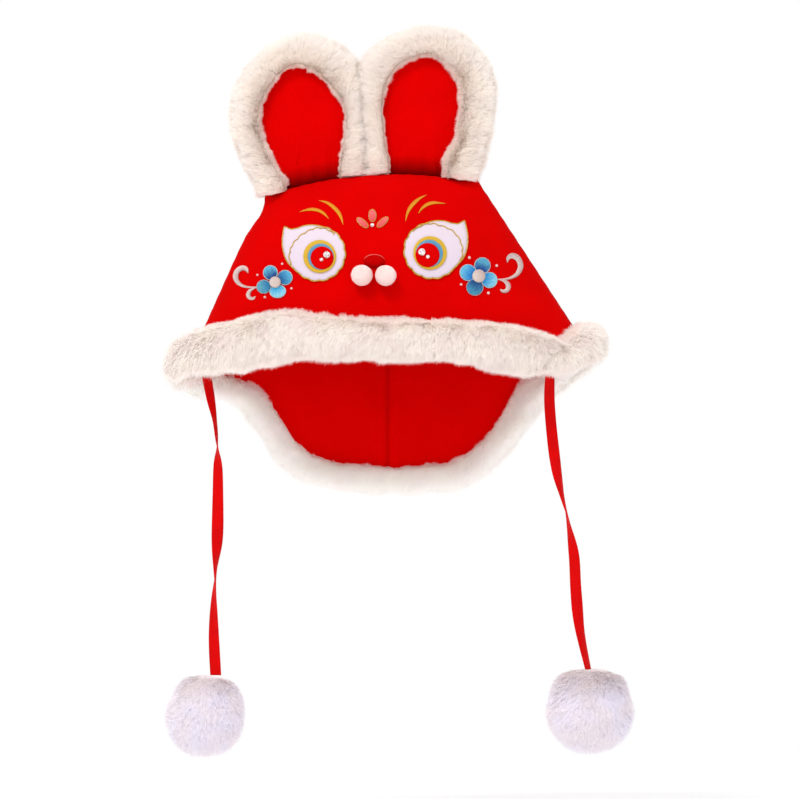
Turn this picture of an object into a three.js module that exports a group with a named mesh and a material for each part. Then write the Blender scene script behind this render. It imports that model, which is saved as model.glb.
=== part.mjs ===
// Bunny ear hat: a child's festive winter hat of red cloth with white fur trim,
// two upright ears, an embroidered rabbit face and two ribbon ties with pompoms.
//
// Units are millimetres. +Z is up, +X is to the viewer's right, the face looks along -Y.
// The origin is the inside of the crown's top, where the hat sits on a head.
// The hat is sewn by hand and a little uneven, so the left and right sides have their own sizes.

import * as THREE from "three";
import { mergeVertices } from "three/addons/utils/BufferGeometryUtils.js";

const GAP = 0.3;          // left between two pieces that touch
const CLOTH = 2;          // thickness of the padded red cloth
const LINING = 1;         // thickness of the inner skin
const FRONT = -1;         // side of a panel: the front bulges towards -Y
const BACK = 1;

// The crown is two panels that bulge to the front and the back of the side seams.
const CROWN = {
  topLeft: { x: -73, z: -9.5 },
  topRight: { x: 62, z: -1 },
  hemLeft: -124,          // x of the side corners
  hemRight: 133,
  topArch: 8.2,           // rise of the top edge between its ends
  depth: 52,              // bulge of each panel at the brim
  roundness: 0.6,         // power of the lens-shaped section
  dip: 4,                 // valley along the top seam, which holds the ears
  dipWidth: 9,
  dipDrop: 15,
  flapLean: 9,            // how far the neck flap leans in at its lowest point
  flapDrop: 84,
};

// Lower edge of the front panel: across runs from -1 at the left corner to 1 at the right.
const FRONT_HEM = [
  { across: -1.0, z: -123 },
  { across: -0.9, z: -116 },
  { across: -0.62, z: -107.5 },
  { across: -0.45, z: -105 },
  { across: -0.18, z: -107 },
  { across: 0.32, z: -109 },
  { across: 0.65, z: -116.5 },
  { across: 0.86, z: -120.5 },
  { across: 1.0, z: -109 },
];

// Lower edge of the back panel, with the neck flap between the corners.
const BACK_HEM = [
  { across: -1.0, z: -123 },
  { across: -0.9, z: -132.5 },
  { across: -0.8, z: -135 },
  { across: -0.69, z: -144 },
  { across: -0.6, z: -159 },
  { across: -0.5, z: -177 },
  { across: -0.4, z: -187 },
  { across: -0.25, z: -193 },
  { across: 0.05, z: -196 },
  { across: 0.34, z: -193.5 },
  { across: 0.46, z: -187 },
  { across: 0.58, z: -173 },
  { across: 0.67, z: -158 },
  { across: 0.74, z: -144 },
  { across: 0.83, z: -134.5 },
  { across: 0.93, z: -121 },
  { across: 1.0, z: -109 },
];

const COLUMNS = 20;       // cloth columns from corner to corner
const FRONT_ROWS = [0, 6, 12, 20, 31, 44, 60];
const BACK_ROWS = [0, 6, 12, 20, 31, 44, 58, 70];

// Size of the fur strip round the rim at three places; the rest is blended.
// Out and in are its thickness on the hat's outside and inside, height is how far it reaches
// up the cloth there, below is how far it stands past the cloth's edge, and room is the
// space between the fold and the cloth.
const FUR_SIZES = {
  front: { out: 12.5, outHeight: 20, below: 10, inside: 6, inHeight: 12, room: 0.45 },
  corner: { out: 12, outHeight: 20, below: 9, inside: 4.5, inHeight: 9, room: 1.3 },
  back: { out: 8, outHeight: 11, below: 7.5, inside: 7, inHeight: 10, room: 0.8 },
};
const FUR_LOCK = 2.2;     // height of the locks on the rim's fur

// Rounded outline of the folded fur strip: side is the face it belongs to, out and up are
// fractions of that side's thickness and height. Up is below zero past the cloth's edge.
const FUR_SECTION = [
  { side: "out", out: 0.7, up: 0.9 },
  { side: "out", out: 1.0, up: 0.5 },
  { side: "out", out: 0.98, up: 0.05 },
  { side: "out", out: 0.75, up: -0.65 },
  { side: "out", out: 0.2, up: -1.0 },
  { side: "in", out: 0.65, up: -0.75 },
  { side: "in", out: 1.0, up: 0.05 },
  { side: "in", out: 0.8, up: 0.8 },
];

// Ears, seen from the front: tip is the outer edge of the fur and cloth the inner one,
// listed from the base of the ear's left side, over its top, to the base of its right side.
const EAR_LEFT = [
  { tipX: -80, tipZ: -7, clothX: -58, clothZ: -3.5 },
  { tipX: -90, tipZ: 12, clothX: -64.5, clothZ: 10 },
  { tipX: -97.5, tipZ: 35, clothX: -74, clothZ: 32 },
  { tipX: -97.5, tipZ: 55, clothX: -73.5, clothZ: 51.5 },
  { tipX: -88.5, tipZ: 74, clothX: -67, clothZ: 64 },
  { tipX: -70, tipZ: 90, clothX: -60, clothZ: 71 },
  { tipX: -47.5, tipZ: 95.5, clothX: -53, clothZ: 73 },
  { tipX: -29, tipZ: 90.5, clothX: -43, clothZ: 68 },
  { tipX: -15.5, tipZ: 78, clothX: -33, clothZ: 59 },
  { tipX: -12.5, tipZ: 56, clothX: -26, clothZ: 47 },
  { tipX: -11, tipZ: 33, clothX: -25, clothZ: 31 },
  { tipX: -9, tipZ: 5, clothX: -28.5, clothZ: 3.5 },
];
const EAR_RIGHT = [
  { tipX: -8, tipZ: 5, clothX: 8, clothZ: 5 },
  { tipX: -10.5, tipZ: 33, clothX: 6, clothZ: 28 },
  { tipX: -12, tipZ: 59, clothX: 5, clothZ: 52 },
  { tipX: -12.5, tipZ: 76, clothX: 10, clothZ: 66 },
  { tipX: -2, tipZ: 88.5, clothX: 17, clothZ: 74 },
  { tipX: 13, tipZ: 97, clothX: 25.5, clothZ: 78.5 },
  { tipX: 32, tipZ: 101, clothX: 35, clothZ: 79.5 },
  { tipX: 54, tipZ: 97, clothX: 43, clothZ: 74 },
  { tipX: 70, tipZ: 84, clothX: 49, clothZ: 64.5 },
  { tipX: 77.5, tipZ: 62, clothX: 51, clothZ: 52 },
  { tipX: 76, tipZ: 42, clothX: 48, clothZ: 36 },
  { tipX: 70.5, tipZ: 18, clothX: 42, clothZ: 17 },
  { tipX: 64, tipZ: 0, clothX: 38, clothZ: 2 },
];
const EAR = {
  stations: 30,           // sections of fur round each ear
  baseSteps: 5,           // steps along the cloth's straight base
  baseBand: 5,
  furDepth: 11.5,         // thickness of the fur on each face
  lock: 2.2,
  cover: 0.5,             // share of the border's width where the cloth's edge lies
  clothEdge: 2,           // half thickness of the padded cloth at its edge
  clothLip: 2.6,
  clothMiddle: 4.2,
  room: 0.4,              // space between the fold of the fur and the cloth
  clearance: 1,           // height of the fur's ends above the crown
};
// The two ears' fur meets along a slanted line between them.
const EAR_DIVIDE = { x: -13.7, z: 77, slope: -0.07, half: 0.2 };

// Rounded outline of the fur border: along runs from its inner edge (0) to its outer edge (1).
const EAR_SECTION = [
  { along: 0.06, depth: 0.75 },
  { along: 0.42, depth: 1.0 },
  { along: 0.8, depth: 0.78 },
  { along: 0.95, depth: 0.0 },
  { along: 0.8, depth: -0.78 },
  { along: 0.42, depth: -1.0 },
  { along: 0.06, depth: -0.75 },
];

// The embroidered face, placed on the front panel. Angles are in degrees from +X, towards +Z.
const EYES = {
  left: { x: -40.3, z: -46.8, radius: 18, tail: 141, turn: 1, ring: 10.7, ringX: -39, ringZ: -49.4,
    pupil: 7.6, pupilX: -37.7, pupilZ: -50.4 },
  right: { x: 33.2, z: -44.9, radius: 18.4, tail: 43, turn: -1, ring: 11, ringX: 32.5, ringZ: -46.8,
    pupil: 7.9, pupilX: 30.8, pupilZ: -48.8 },
};
// How far the leaf-shaped corner of the eye stands out from its circle, by angle from its tip.
const EYE_TAIL = [
  { turn: -84, extra: 0 },
  { turn: -70, extra: 0.8 },
  { turn: -56, extra: 2.6 },
  { turn: -36, extra: 4.7 },
  { turn: -22, extra: 6.5 },
  { turn: -10, extra: 8.3 },
  { turn: 0, extra: 10.4 },
  { turn: 3, extra: 5.8 },
  { turn: 12, extra: 3.5 },
  { turn: 26, extra: 2.4 },
  { turn: 41, extra: 1.2 },
  { turn: 60, extra: 0 },
];
const BROWS = {
  left_outer: [[-52, -20.2], [-43.9, -17.2], [-33.2, -24.3]],
  left_inner: [[-39.7, -12.4], [-30.6, -15.8], [-24.1, -28]],
  right_inner: [[16.3, -26], [20.2, -16], [30.6, -9.4]],
  right_outer: [[24.7, -21.5], [31.5, -14.6], [42.6, -14.7]],
};
const BROW_WIDTH = 2.6;
const PETALS = {
  middle: { x: -4.9, z: -22.8, length: 4.4, width: 2.5, angle: 92 },
  left: { x: -11.4, z: -27.4, length: 4.5, width: 2.3, angle: 140 },
  right: { x: 1.8, z: -27.2, length: 4.5, width: 2.3, angle: 42 },
};
const NOSE = { x: -3.6, z: -52.4, halfWidth: 6.8, halfHeight: 4.2, rise: 3.4 };
const MUZZLE = {
  left: { x: -11.4, z: -60.5, radius: 7.1 },
  right: { x: 3.6, z: -60.8, radius: 7.0 },
};
const FLOWERS = {
  left: { x: -68.2, z: -66.1, angle: 22, petal: 4.7, reach: 7.15, centre: 3.7 },
  right: { x: 63.9, z: -62.1, angle: 70.5, petal: 5.3, reach: 7.8, centre: 3.9 },
};
// Scrolls beside the flowers: middle line and width at each point.
const SCROLLS = {
  large_left: [
    { x: -80.6, z: -68.8, width: 0.6 },
    { x: -83.6, z: -68.3, width: 1.2 },
    { x: -88.0, z: -66.5, width: 2.2 },
    { x: -93.0, z: -62.3, width: 3.2 },
    { x: -94.2, z: -57.3, width: 3.6 },
    { x: -91.3, z: -53.6, width: 3.6 },
    { x: -87.4, z: -54.1, width: 2.9 },
    { x: -85.9, z: -58.0, width: 0.6 },
  ],
  small_left: [
    { x: -81.0, z: -70.4, width: 1.0 },
    { x: -84.4, z: -72.7, width: 2.4 },
    { x: -85.1, z: -76.4, width: 2.6 },
    { x: -82.7, z: -79.0, width: 2.1 },
    { x: -80.4, z: -76.9, width: 0.5 },
  ],
  large_right: [
    { x: 78.4, z: -64.5, width: 0.7 },
    { x: 82.0, z: -63.9, width: 1.5 },
    { x: 86.3, z: -61.6, width: 2.6 },
    { x: 90.2, z: -57.0, width: 3.4 },
    { x: 90.0, z: -51.3, width: 3.8 },
    { x: 86.0, z: -48.2, width: 3.6 },
    { x: 82.3, z: -50.2, width: 2.6 },
    { x: 82.2, z: -53.0, width: 0.6 },
  ],
  small_right: [
    { x: 77.6, z: -65.8, width: 0.8 },
    { x: 81.6, z: -68.2, width: 2.6 },
    { x: 82.9, z: -71.9, width: 3.2 },
    { x: 80.2, z: -75.1, width: 2.6 },
    { x: 77.5, z: -72.9, width: 0.6 },
  ],
};
const THREAD = {          // how far each layer of the face stands off the cloth
  gap: 0.35,
  patch: 0.9,
  ring: 1.0,
  pupil: 1.6,
  brow: 0.8,
  petal: 1.0,
  flower: 1.1,
  flowerCentre: 1.8,
  scroll: 0.8,
};

// Ribbon ties: middle line from the band to the pompom, and the turn of the flat face.
const TIE = { width: 7.6, thickness: 1.2, y: -18, steps: 26 };
const TIE_LEFT = [
  { x: -112.6, z: -126.3, turn: 40 },
  { x: -109.6, z: -143, turn: 50 },
  { x: -107.2, z: -156, turn: 70 },
  { x: -105.8, z: -170, turn: 98 },
  { x: -105.2, z: -186, turn: 138 },
  { x: -105.2, z: -208, turn: 168 },
  { x: -105.6, z: -232, turn: 205 },
  { x: -106.8, z: -250, turn: 250 },
  { x: -107.8, z: -272, turn: 296 },
  { x: -107.8, z: -296, turn: 325 },
  { x: -106.6, z: -321, turn: 345 },
];
const TIE_RIGHT = [
  { x: 110.3, z: -126.1, turn: 42 },
  { x: 110.0, z: -143, turn: 30 },
  { x: 111.6, z: -164, turn: 12 },
  { x: 114.6, z: -188, turn: 38 },
  { x: 118.4, z: -206, turn: 72 },
  { x: 123.0, z: -226, turn: 112 },
  { x: 126.0, z: -244, turn: 150 },
  { x: 127.2, z: -266, turn: 178 },
  { x: 129.6, z: -291, turn: 222 },
  { x: 135.1, z: -317.2, turn: 240 },
];
const POMPOMS = {
  left: { x: -113.4, z: -347.4, radiusX: 25, radiusY: 25, radiusZ: 25, lock: 2.6 },
  right: { x: 137.5, z: -344.5, radiusX: 28.5, radiusY: 26.5, radiusZ: 26, lock: 2.6 },
};

const MATERIALS = {
  redCloth: { color: 0xe10505, roughness: 0.85 },
  redLining: { color: 0xc00404, roughness: 0.9 },
  redRibbon: { color: 0xe60a0a, roughness: 0.45 },
  whiteFur: { color: 0xf5ece4, roughness: 0.95 },
  pompomFur: { color: 0xf3ecf3, roughness: 0.95 },
  whiteThread: { color: 0xefdcec, roughness: 0.6 },
  goldThread: { color: 0xe9ab1f, roughness: 0.4 },
  pinkThread: { color: 0xf7696b, roughness: 0.5 },
  blueThread: { color: 0x2f9fdc, roughness: 0.5 },
  silverThread: { color: 0xe6cbc9, roughness: 0.5 },
  redVelvet: { color: 0xdc0606, roughness: 0.7 },
};

const point = (x, y, z) => new THREE.Vector3(x, y, z);
const { lerp, clamp, degToRad, smoothstep } = THREE.MathUtils;

// A number between -1 and 1 that looks random but is the same on each run.
function scatter(i, j) {
  const wave = Math.sin(i * 12.9898 + j * 78.233) * 43758.5453;
  return 2 * (wave - Math.floor(wave)) - 1;
}

// Value of one column of a table at a key, with straight lines between the rows.
function lookUp(table, keyName, valueName, key) {
  const last = table.length - 1;
  if (key <= table[0][keyName]) return table[0][valueName];
  for (let i = 0; i < last; i += 1) {
    const [a, b] = [table[i], table[i + 1]];
    if (key <= b[keyName]) {
      return lerp(a[valueName], b[valueName], (key - a[keyName]) / (b[keyName] - a[keyName]));
    }
  }
  return table[last][valueName];
}

// Smooth value of several columns of a table at a share of its length.
function curveThrough(table, names) {
  const tracks = names.map((name) => table.map((row) => row[name]));
  return (share) => {
    const place = clamp(share, 0, 1) * (table.length - 1);
    const i = Math.min(Math.floor(place), table.length - 2);
    const f = place - i;
    return tracks.map((track) => {
      const before = track[Math.max(i - 1, 0)];
      const after = track[Math.min(i + 2, track.length - 1)];
      const [a, b] = [track[i], track[i + 1]];
      const [slopeA, slopeB] = [(b - before) / 2, (after - a) / 2];
      const f2 = f * f;
      const f3 = f2 * f;
      return (2 * f3 - 3 * f2 + 1) * a + (f3 - 2 * f2 + f) * slopeA
        + (3 * f2 - 2 * f3) * b + (f3 - f2) * slopeB;
    });
  };
}

// Solids are lists of corner points and triangles.
class Solid {
  constructor() {
    this.positions = [];
    this.faces = [];
  }

  add(p) {
    this.positions.push(p.x, p.y, p.z);
    return this.positions.length / 3 - 1;
  }

  addRing(ring) {
    return ring.map((p) => this.add(p));
  }

  quad(a, b, c, d) {
    this.faces.push([a, b, c], [a, c, d]);
  }

  // Joins two open or closed rows of points of equal length.
  band(rowA, rowB, closed) {
    const count = rowA.length;
    for (let j = 0; j < (closed ? count : count - 1); j += 1) {
      const k = (j + 1) % count;
      this.quad(rowA[j], rowB[j], rowB[k], rowA[k]);
    }
  }

  fan(centre, ring, reverse) {
    ring.forEach((a, j) => {
      const b = ring[(j + 1) % ring.length];
      this.faces.push(reverse ? [centre, b, a] : [centre, a, b]);
    });
  }

  volume() {
    const corner = (i) => new THREE.Vector3().fromArray(this.positions, 3 * i);
    return this.faces.reduce((sum, [a, b, c]) => sum + corner(a).dot(corner(b).cross(corner(c))), 0);
  }

  geometry() {
    const outward = this.volume() > 0;
    const index = this.faces.flatMap(([a, b, c]) => (outward ? [a, b, c] : [a, c, b]));
    const geometry = new THREE.BufferGeometry();
    geometry.setAttribute("position", new THREE.Float32BufferAttribute(this.positions, 3));
    geometry.setIndex(index);
    const merged = mergeVertices(geometry, 1e-5);
    merged.computeVertexNormals();
    return merged;
  }
}

// A closed body through rings of points; each ring is a closed outline of equal length.
function loft(rings, { closed = false, caps = [] } = {}) {
  const solid = new Solid();
  const rows = rings.map((ring) => solid.addRing(ring));
  for (let i = 0; i + 1 < rows.length; i += 1) solid.band(rows[i], rows[i + 1], true);
  if (closed) {
    solid.band(rows[rows.length - 1], rows[0], true);
    return solid.geometry();
  }
  solid.faces.push(...caps.map(([a, b, c]) => [rows[0][a], rows[0][b], rows[0][c]]));
  const last = rows[rows.length - 1];
  solid.faces.push(...caps.map(([a, b, c]) => [last[a], last[c], last[b]]));
  return solid.geometry();
}

// A sheet with thickness: outer and inner are grids of points of the same size. Both faces
// have their cells split the same way, so that sheets stay clear of each other.
function sheet(outer, inner) {
  const solid = new Solid();
  const out = outer.map((row) => solid.addRing(row));
  const within = inner.map((row) => solid.addRing(row));
  const [columns, rows] = [out.length - 1, out[0].length - 1];
  for (let i = 0; i < columns; i += 1) {
    for (let j = 0; j < rows; j += 1) {
      solid.quad(out[i][j], out[i + 1][j], out[i + 1][j + 1], out[i][j + 1]);
      solid.quad(within[i][j], within[i][j + 1], within[i + 1][j + 1], within[i + 1][j]);
    }
    solid.quad(out[i][0], within[i][0], within[i + 1][0], out[i + 1][0]);
    solid.quad(out[i][rows], out[i + 1][rows], within[i + 1][rows], within[i][rows]);
  }
  for (let j = 0; j < rows; j += 1) {
    solid.quad(out[0][j], out[0][j + 1], within[0][j + 1], within[0][j]);
    solid.quad(out[columns][j], within[columns][j], within[columns][j + 1], out[columns][j + 1]);
  }
  return solid.geometry();
}

// A lens-like body with a front and a back made of rings round a middle point.
function disc(front, back) {
  const solid = new Solid();
  const build = ({ centre, rings }, reverse) => {
    const rows = rings.map((ring) => solid.addRing(ring));
    solid.fan(solid.add(centre), rows[0], reverse);
    for (let i = 0; i + 1 < rows.length; i += 1) {
      if (reverse) solid.band(rows[i + 1], rows[i], true);
      else solid.band(rows[i], rows[i + 1], true);
    }
    return rows[rows.length - 1];
  };
  const frontEdge = build(front, false);
  const backEdge = build(back, true);
  solid.band(frontEdge, backEdge, true);
  return solid.geometry();
}

// Crown surface

const topX = (across) => lerp(CROWN.topLeft.x, CROWN.topRight.x, (across + 1) / 2);
const hemX = (across) => lerp(CROWN.hemLeft, CROWN.hemRight, (across + 1) / 2);
const topZ = (across) => lerp(CROWN.topLeft.z, CROWN.topRight.z, (across + 1) / 2)
  + CROWN.topArch * (1 - across ** 2);
const lens = (across) => Math.max(0, 1 - across ** 2) ** CROWN.roundness;
const frontDrop = (across) => topZ(across) - lookUp(FRONT_HEM, "across", "z", across);
const backDrop = (across) => topZ(across) - lookUp(BACK_HEM, "across", "z", across);
const panelDrop = (side, across) => (side === FRONT ? frontDrop(across) : backDrop(across));

// How far a panel bulges at a height below the top edge.
function bulgeAt(across, drop) {
  const share = drop / frontDrop(across);
  const dome = Math.sqrt(1 - (1 - Math.min(share, 1)) ** 2);
  const lean = CROWN.flapLean * Math.max(0, drop - frontDrop(across)) / CROWN.flapDrop;
  return lens(across) * (CROWN.depth * dome - lean);
}

// The inner face of the outer cloth, as one smooth surface.
function panel(side, across, drop) {
  const bulge = bulgeAt(across, drop);
  const share = Math.min(drop / frontDrop(across), 1);
  const dip = CROWN.dip * (1 - across ** 4) * Math.max(0, 1 - drop / CROWN.dipDrop)
    * Math.max(0, 1 - bulge / CROWN.dipWidth) ** 2;
  const x = lerp(topX(across), hemX(across), share);
  return point(x, side * (GAP / 2 + bulge), topZ(across) - drop - dip);
}

// Outward direction of a panel. The seams have their own, so that the two panels meet there.
function panelNormal(side, across, drop) {
  const step = 0.004;
  const [left, right] = [Math.max(across - step, -1), Math.min(across + step, 1)];
  const [high, low] = [Math.max(drop - 1, 0), drop + 1];
  const along = panel(side, right, drop).sub(panel(side, left, drop));
  const down = panel(side, across, low).sub(panel(side, across, high));
  const normal = side === FRONT ? down.cross(along) : along.cross(down);
  const onTop = drop < 1e-6;
  const onSide = Math.abs(across) > 1 - 1e-6;
  if (onTop || onSide) {
    normal.set(onSide ? Math.sign(across) : 0, 0, onTop ? 1 : 0.45);
  }
  return normal.normalize();
}

function offsetPanel(side, across, drop, lift) {
  return panel(side, across, drop).addScaledVector(panelNormal(side, across, drop), lift);
}

// Finds the place on a panel that shows at x and z when it is seen from the front.
function placeOnPanel(side, x, z) {
  let across = 0;
  let drop = 0;
  for (let i = 0; i < 12; i += 1) {
    drop = Math.max(topZ(across) - z, 0);
    const share = Math.min(drop / frontDrop(across), 1);
    const left = lerp(CROWN.topLeft.x, CROWN.hemLeft, share);
    const right = lerp(CROWN.topRight.x, CROWN.hemRight, share);
    across = clamp((2 * (x - left)) / (right - left) - 1, -1, 1);
  }
  return { across, drop };
}

function onFront(x, z, lift) {
  const { across, drop } = placeOnPanel(FRONT, x, z);
  return offsetPanel(FRONT, across, drop, CLOTH + lift);
}

// Height of the crown's outer face over a point, seen from above.
function crownTop(x, y) {
  const beyond = x < CROWN.topLeft.x - 2 * CLOTH || x > CROWN.topRight.x + 2 * CLOTH;
  if (beyond) return -Infinity;
  const across = clamp((2 * (x - CROWN.topLeft.x)) / (CROWN.topRight.x - CROWN.topLeft.x) - 1, -0.98, 0.98);
  const reach = CROWN.depth * lens(across);
  const innerTop = (distance) => {
    if (distance >= reach) return -Infinity;
    const drop = frontDrop(across) * (1 - Math.sqrt(1 - (distance / reach) ** 2));
    const dip = CROWN.dip * (1 - across ** 4) * Math.max(0, 1 - distance / CROWN.dipWidth) ** 2;
    return topZ(across) - drop - dip;
  };
  const out = Math.abs(y);
  return Math.max(innerTop(out), innerTop(Math.max(out - CLOTH, 0))) + CLOTH * 1.25;
}

// Cloth columns are closer together near the side seams, where the section turns.
const columnAcross = (i) => {
  const s = (2 * i) / COLUMNS - 1;
  return 0.5 * s + 0.5 * Math.sin((Math.PI / 2) * s);
};

const hemPoint = (side, across) => panel(side, across, panelDrop(side, across));

// Size of the fur strip at a place on the rim.
function furSize(side, across) {
  const far = side === FRONT ? FUR_SIZES.front : FUR_SIZES.back;
  const share = 1 - smoothstep(Math.abs(across), 0.72, 1);
  const blended = Object.keys(far).map((name) => [name, lerp(FUR_SIZES.corner[name], far[name], share)]);
  return Object.fromEntries(blended);
}

// How far up a column the fur's upper edge lies, more where the rim runs steeply.
function gripHeight(side, across) {
  const step = 0.03;
  const run = hemPoint(side, Math.min(across + step, 1)).sub(hemPoint(side, Math.max(across - step, -1)));
  const stretch = run.length() / Math.hypot(run.x, run.y);
  return furSize(side, across).outHeight * Math.min(stretch, 1.9);
}

// Heights of a column's points: spread over the dome, then the fur's upper edge and the hem.
function rowDrops(side, across, rowAngles) {
  const whole = panelDrop(side, across);
  const dome = rowAngles.map((angle) => whole * (1 - Math.cos(degToRad(angle))));
  return [...dome, whole - gripHeight(side, across), whole];
}

function clothSheet(side, rowAngles, outerLift, innerLift) {
  const grid = (lift) => Array.from({ length: COLUMNS + 1 }, (_, i) => {
    const across = columnAcross(i);
    return rowDrops(side, across, rowAngles).map((drop) => offsetPanel(side, across, drop, lift));
  });
  return sheet(grid(outerLift), grid(innerLift));
}

// Fur band round the rim

// The rim runs along the front hem from left to right and back along the neck flap.
function rimColumns() {
  const front = Array.from({ length: COLUMNS + 1 }, (_, i) => ({ side: FRONT, across: columnAcross(i) }));
  const back = Array.from({ length: COLUMNS - 1 }, (_, i) => (
    { side: BACK, across: columnAcross(COLUMNS - 1 - i) }));
  return [...front, ...back];
}

// One section of the fur: its lips and fold follow the cloth, and its round face is free.
function rimSection(columns, i) {
  const { side, across } = columns[i];
  const before = columns[(i + columns.length - 1) % columns.length];
  const after = columns[(i + 1) % columns.length];
  const drop = panelDrop(side, across);
  const grip = gripHeight(side, across);
  const hem = panel(side, across, drop);
  const normal = panelNormal(side, across, drop);
  const tangent = hemPoint(after.side, after.across).sub(hemPoint(before.side, before.across));
  const up = Math.abs(across) > 1 - 1e-6
    ? panel(side, across, drop - 1).sub(hem).setY(0)
    : new THREE.Vector3().crossVectors(normal, tangent);
  up.normalize();
  if (up.z < 0) up.negate();
  const size = furSize(side, across);
  const edge = { out: CLOTH + size.room, in: -(GAP + LINING + size.room) };
  const onCloth = (lift, share) => (
    offsetPanel(side, across, drop, lift).lerp(offsetPanel(side, across, drop - grip, lift), share));
  const free = ({ side: face, out, up: share }) => {
    const outside = face === "out";
    const height = share < 0 ? share * size.below : share * (outside ? size.outHeight : size.inHeight);
    const lift = outside ? edge.out + out * size.out : edge.in - out * size.inside;
    return hem.clone().addScaledVector(up, height).addScaledVector(normal, lift);
  };
  return [
    onCloth(edge.out, 1),
    ...FUR_SECTION.map(free),
    onCloth(edge.in, size.inHeight / size.outHeight),
    onCloth(edge.in, -size.room / grip),
    onCloth(edge.out, -size.room / grip),
  ];
}

// Raises every other point of the fur's face into a lock that leans along the strip.
function raiseLocks(rings, first, last, height, lean) {
  return rings.map((ring, i) => {
    const centre = ring.reduce((sum, p) => sum.add(p), point(0, 0, 0)).divideScalar(ring.length);
    const next = rings[(i + 1) % rings.length];
    return ring.map((p, j) => {
      if (j < first || j > last) return p;
      const outward = p.clone().sub(centre).normalize();
      const along = next[j].clone().sub(p).normalize();
      const raised = (i + j) % 2 === 0;
      const lift = raised ? height * (1 + 0.25 * scatter(i, j)) : -0.4 * height;
      const shift = raised ? lean * scatter(j, i) : 0;
      return p.clone().addScaledVector(outward, lift).addScaledVector(along, shift);
    });
  });
}

function furBand() {
  const columns = rimColumns();
  const main = columns.map((_, i) => rimSection(columns, i));
  const rings = main.flatMap((ring, i) => {
    const next = main[(i + 1) % main.length];
    return [ring, ring.map((p, j) => p.clone().lerp(next[j], 0.5))];
  });
  return loft(raiseLocks(rings, 1, FUR_SECTION.length, FUR_LOCK, 1.2), { closed: true });
}

// Ears

function earStations(table) {
  const curve = curveThrough(table, ["tipX", "tipZ", "clothX", "clothZ"]);
  return Array.from({ length: EAR.stations }, (_, i) => {
    const [tipX, tipZ, clothX, clothZ] = curve(i / (EAR.stations - 1));
    const tip = point(tipX, 0, tipZ);
    const lip = point(clothX, 0, clothZ);
    return { tip, lip, edge: lip.clone().lerp(tip, EAR.cover) };
  });
}

const atDepth = (p, y) => point(p.x, y, p.z);

// The padded cloth of an ear, crowned on both faces, with its base in the crown's valley.
function earCloth(table) {
  const seatZ = (x) => crownTop(x, EAR.clothLip) + 2 * GAP;
  const seated = (p) => point(p.x, 0, Math.max(p.z, seatZ(p.x)));
  const stations = earStations(table).map(({ lip, edge }) => ({ lip: seated(lip), edge: seated(edge) }));
  const [first, last] = [stations[0], stations[stations.length - 1]];
  const base = Array.from({ length: EAR.baseSteps }, (_, k) => {
    const x = lerp(last.lip.x, first.lip.x, (k + 1) / (EAR.baseSteps + 1));
    return { lip: point(x, 0, seatZ(x) + EAR.baseBand), edge: point(x, 0, seatZ(x)) };
  });
  const all = [...stations, ...base];
  const middle = all.reduce((sum, s) => sum.add(s.lip), point(0, 0, 0)).divideScalar(all.length);
  const face = (side) => {
    const ring = (share, half) => all.map((s) => atDepth(middle.clone().lerp(s.lip, share), side * half));
    return {
      centre: atDepth(middle, side * EAR.clothMiddle),
      rings: [
        ring(0.62, lerp(EAR.clothMiddle, EAR.clothLip, 0.3)),
        all.map((s) => atDepth(s.lip, side * EAR.clothLip)),
        all.map((s) => atDepth(s.edge, side * EAR.clothEdge)),
      ],
    };
  };
  return disc(face(FRONT), face(BACK));
}

// The fur border, folded round the cloth's edge from the base on one side to the other.
function earFur(table, side) {
  const { room } = EAR;
  const rings = earStations(table).map(({ tip, lip, edge }) => {
    const across = tip.clone().sub(lip);
    const floor = edge.clone().addScaledVector(across.clone().normalize(), room);
    const arc = EAR_SECTION.map(({ along, depth }) => (
      atDepth(lip.clone().addScaledVector(across, along), -depth * EAR.furDepth)));
    return [
      atDepth(lip, -(EAR.clothLip + room)),
      ...arc,
      atDepth(lip, EAR.clothLip + room),
      atDepth(floor, EAR.clothEdge + room),
      atDepth(floor, -(EAR.clothEdge + room)),
    ];
  });
  const locks = raiseLocks(rings, 1, EAR_SECTION.length, EAR.lock, 1);
  const divide = (z) => EAR_DIVIDE.x + EAR_DIVIDE.slope * (z - EAR_DIVIDE.z);
  const kept = locks.map((ring) => ring.map((p) => {
    const limit = divide(p.z) + side * EAR_DIVIDE.half;
    const x = side < 0 ? Math.min(p.x, limit) : Math.max(p.x, limit);
    return point(x, p.y, Math.max(p.z, crownTop(x, p.y) + EAR.clearance));
  }));
  return loft(kept, { caps: sectionCaps(EAR_SECTION.length) });
}

// Triangles that close a folded section: lip, arc, lip, then the two corners of its fold.
function sectionCaps(arc) {
  const [frontLip, backLip, backFold, frontFold] = [0, arc + 1, arc + 2, arc + 3];
  const middle = (arc + 1) / 2;
  const caps = [];
  for (let j = 0; j < middle; j += 1) caps.push([frontFold, frontLip + j, frontLip + j + 1]);
  caps.push([frontFold, middle, backFold]);
  for (let j = middle; j < backLip; j += 1) caps.push([backFold, j, j + 1]);
  return caps;
}

// Embroidered face

// A raised patch on the front panel: outline and middle are places seen from the front.
function applique(outline, middle, base, rise, crown = 0.35) {
  const ring = (share, lift) => outline.map(([x, z]) => (
    onFront(lerp(middle[0], x, share), lerp(middle[1], z, share), lift)));
  const top = base + rise;
  return disc(
    {
      centre: onFront(...middle, top),
      rings: [ring(0.55, lerp(base, top, 1 - 0.3 * crown)), ring(1, lerp(base, top, 1 - crown))],
    },
    { centre: onFront(...middle, base), rings: [ring(0.55, base), ring(1, base)] },
  );
}

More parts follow.
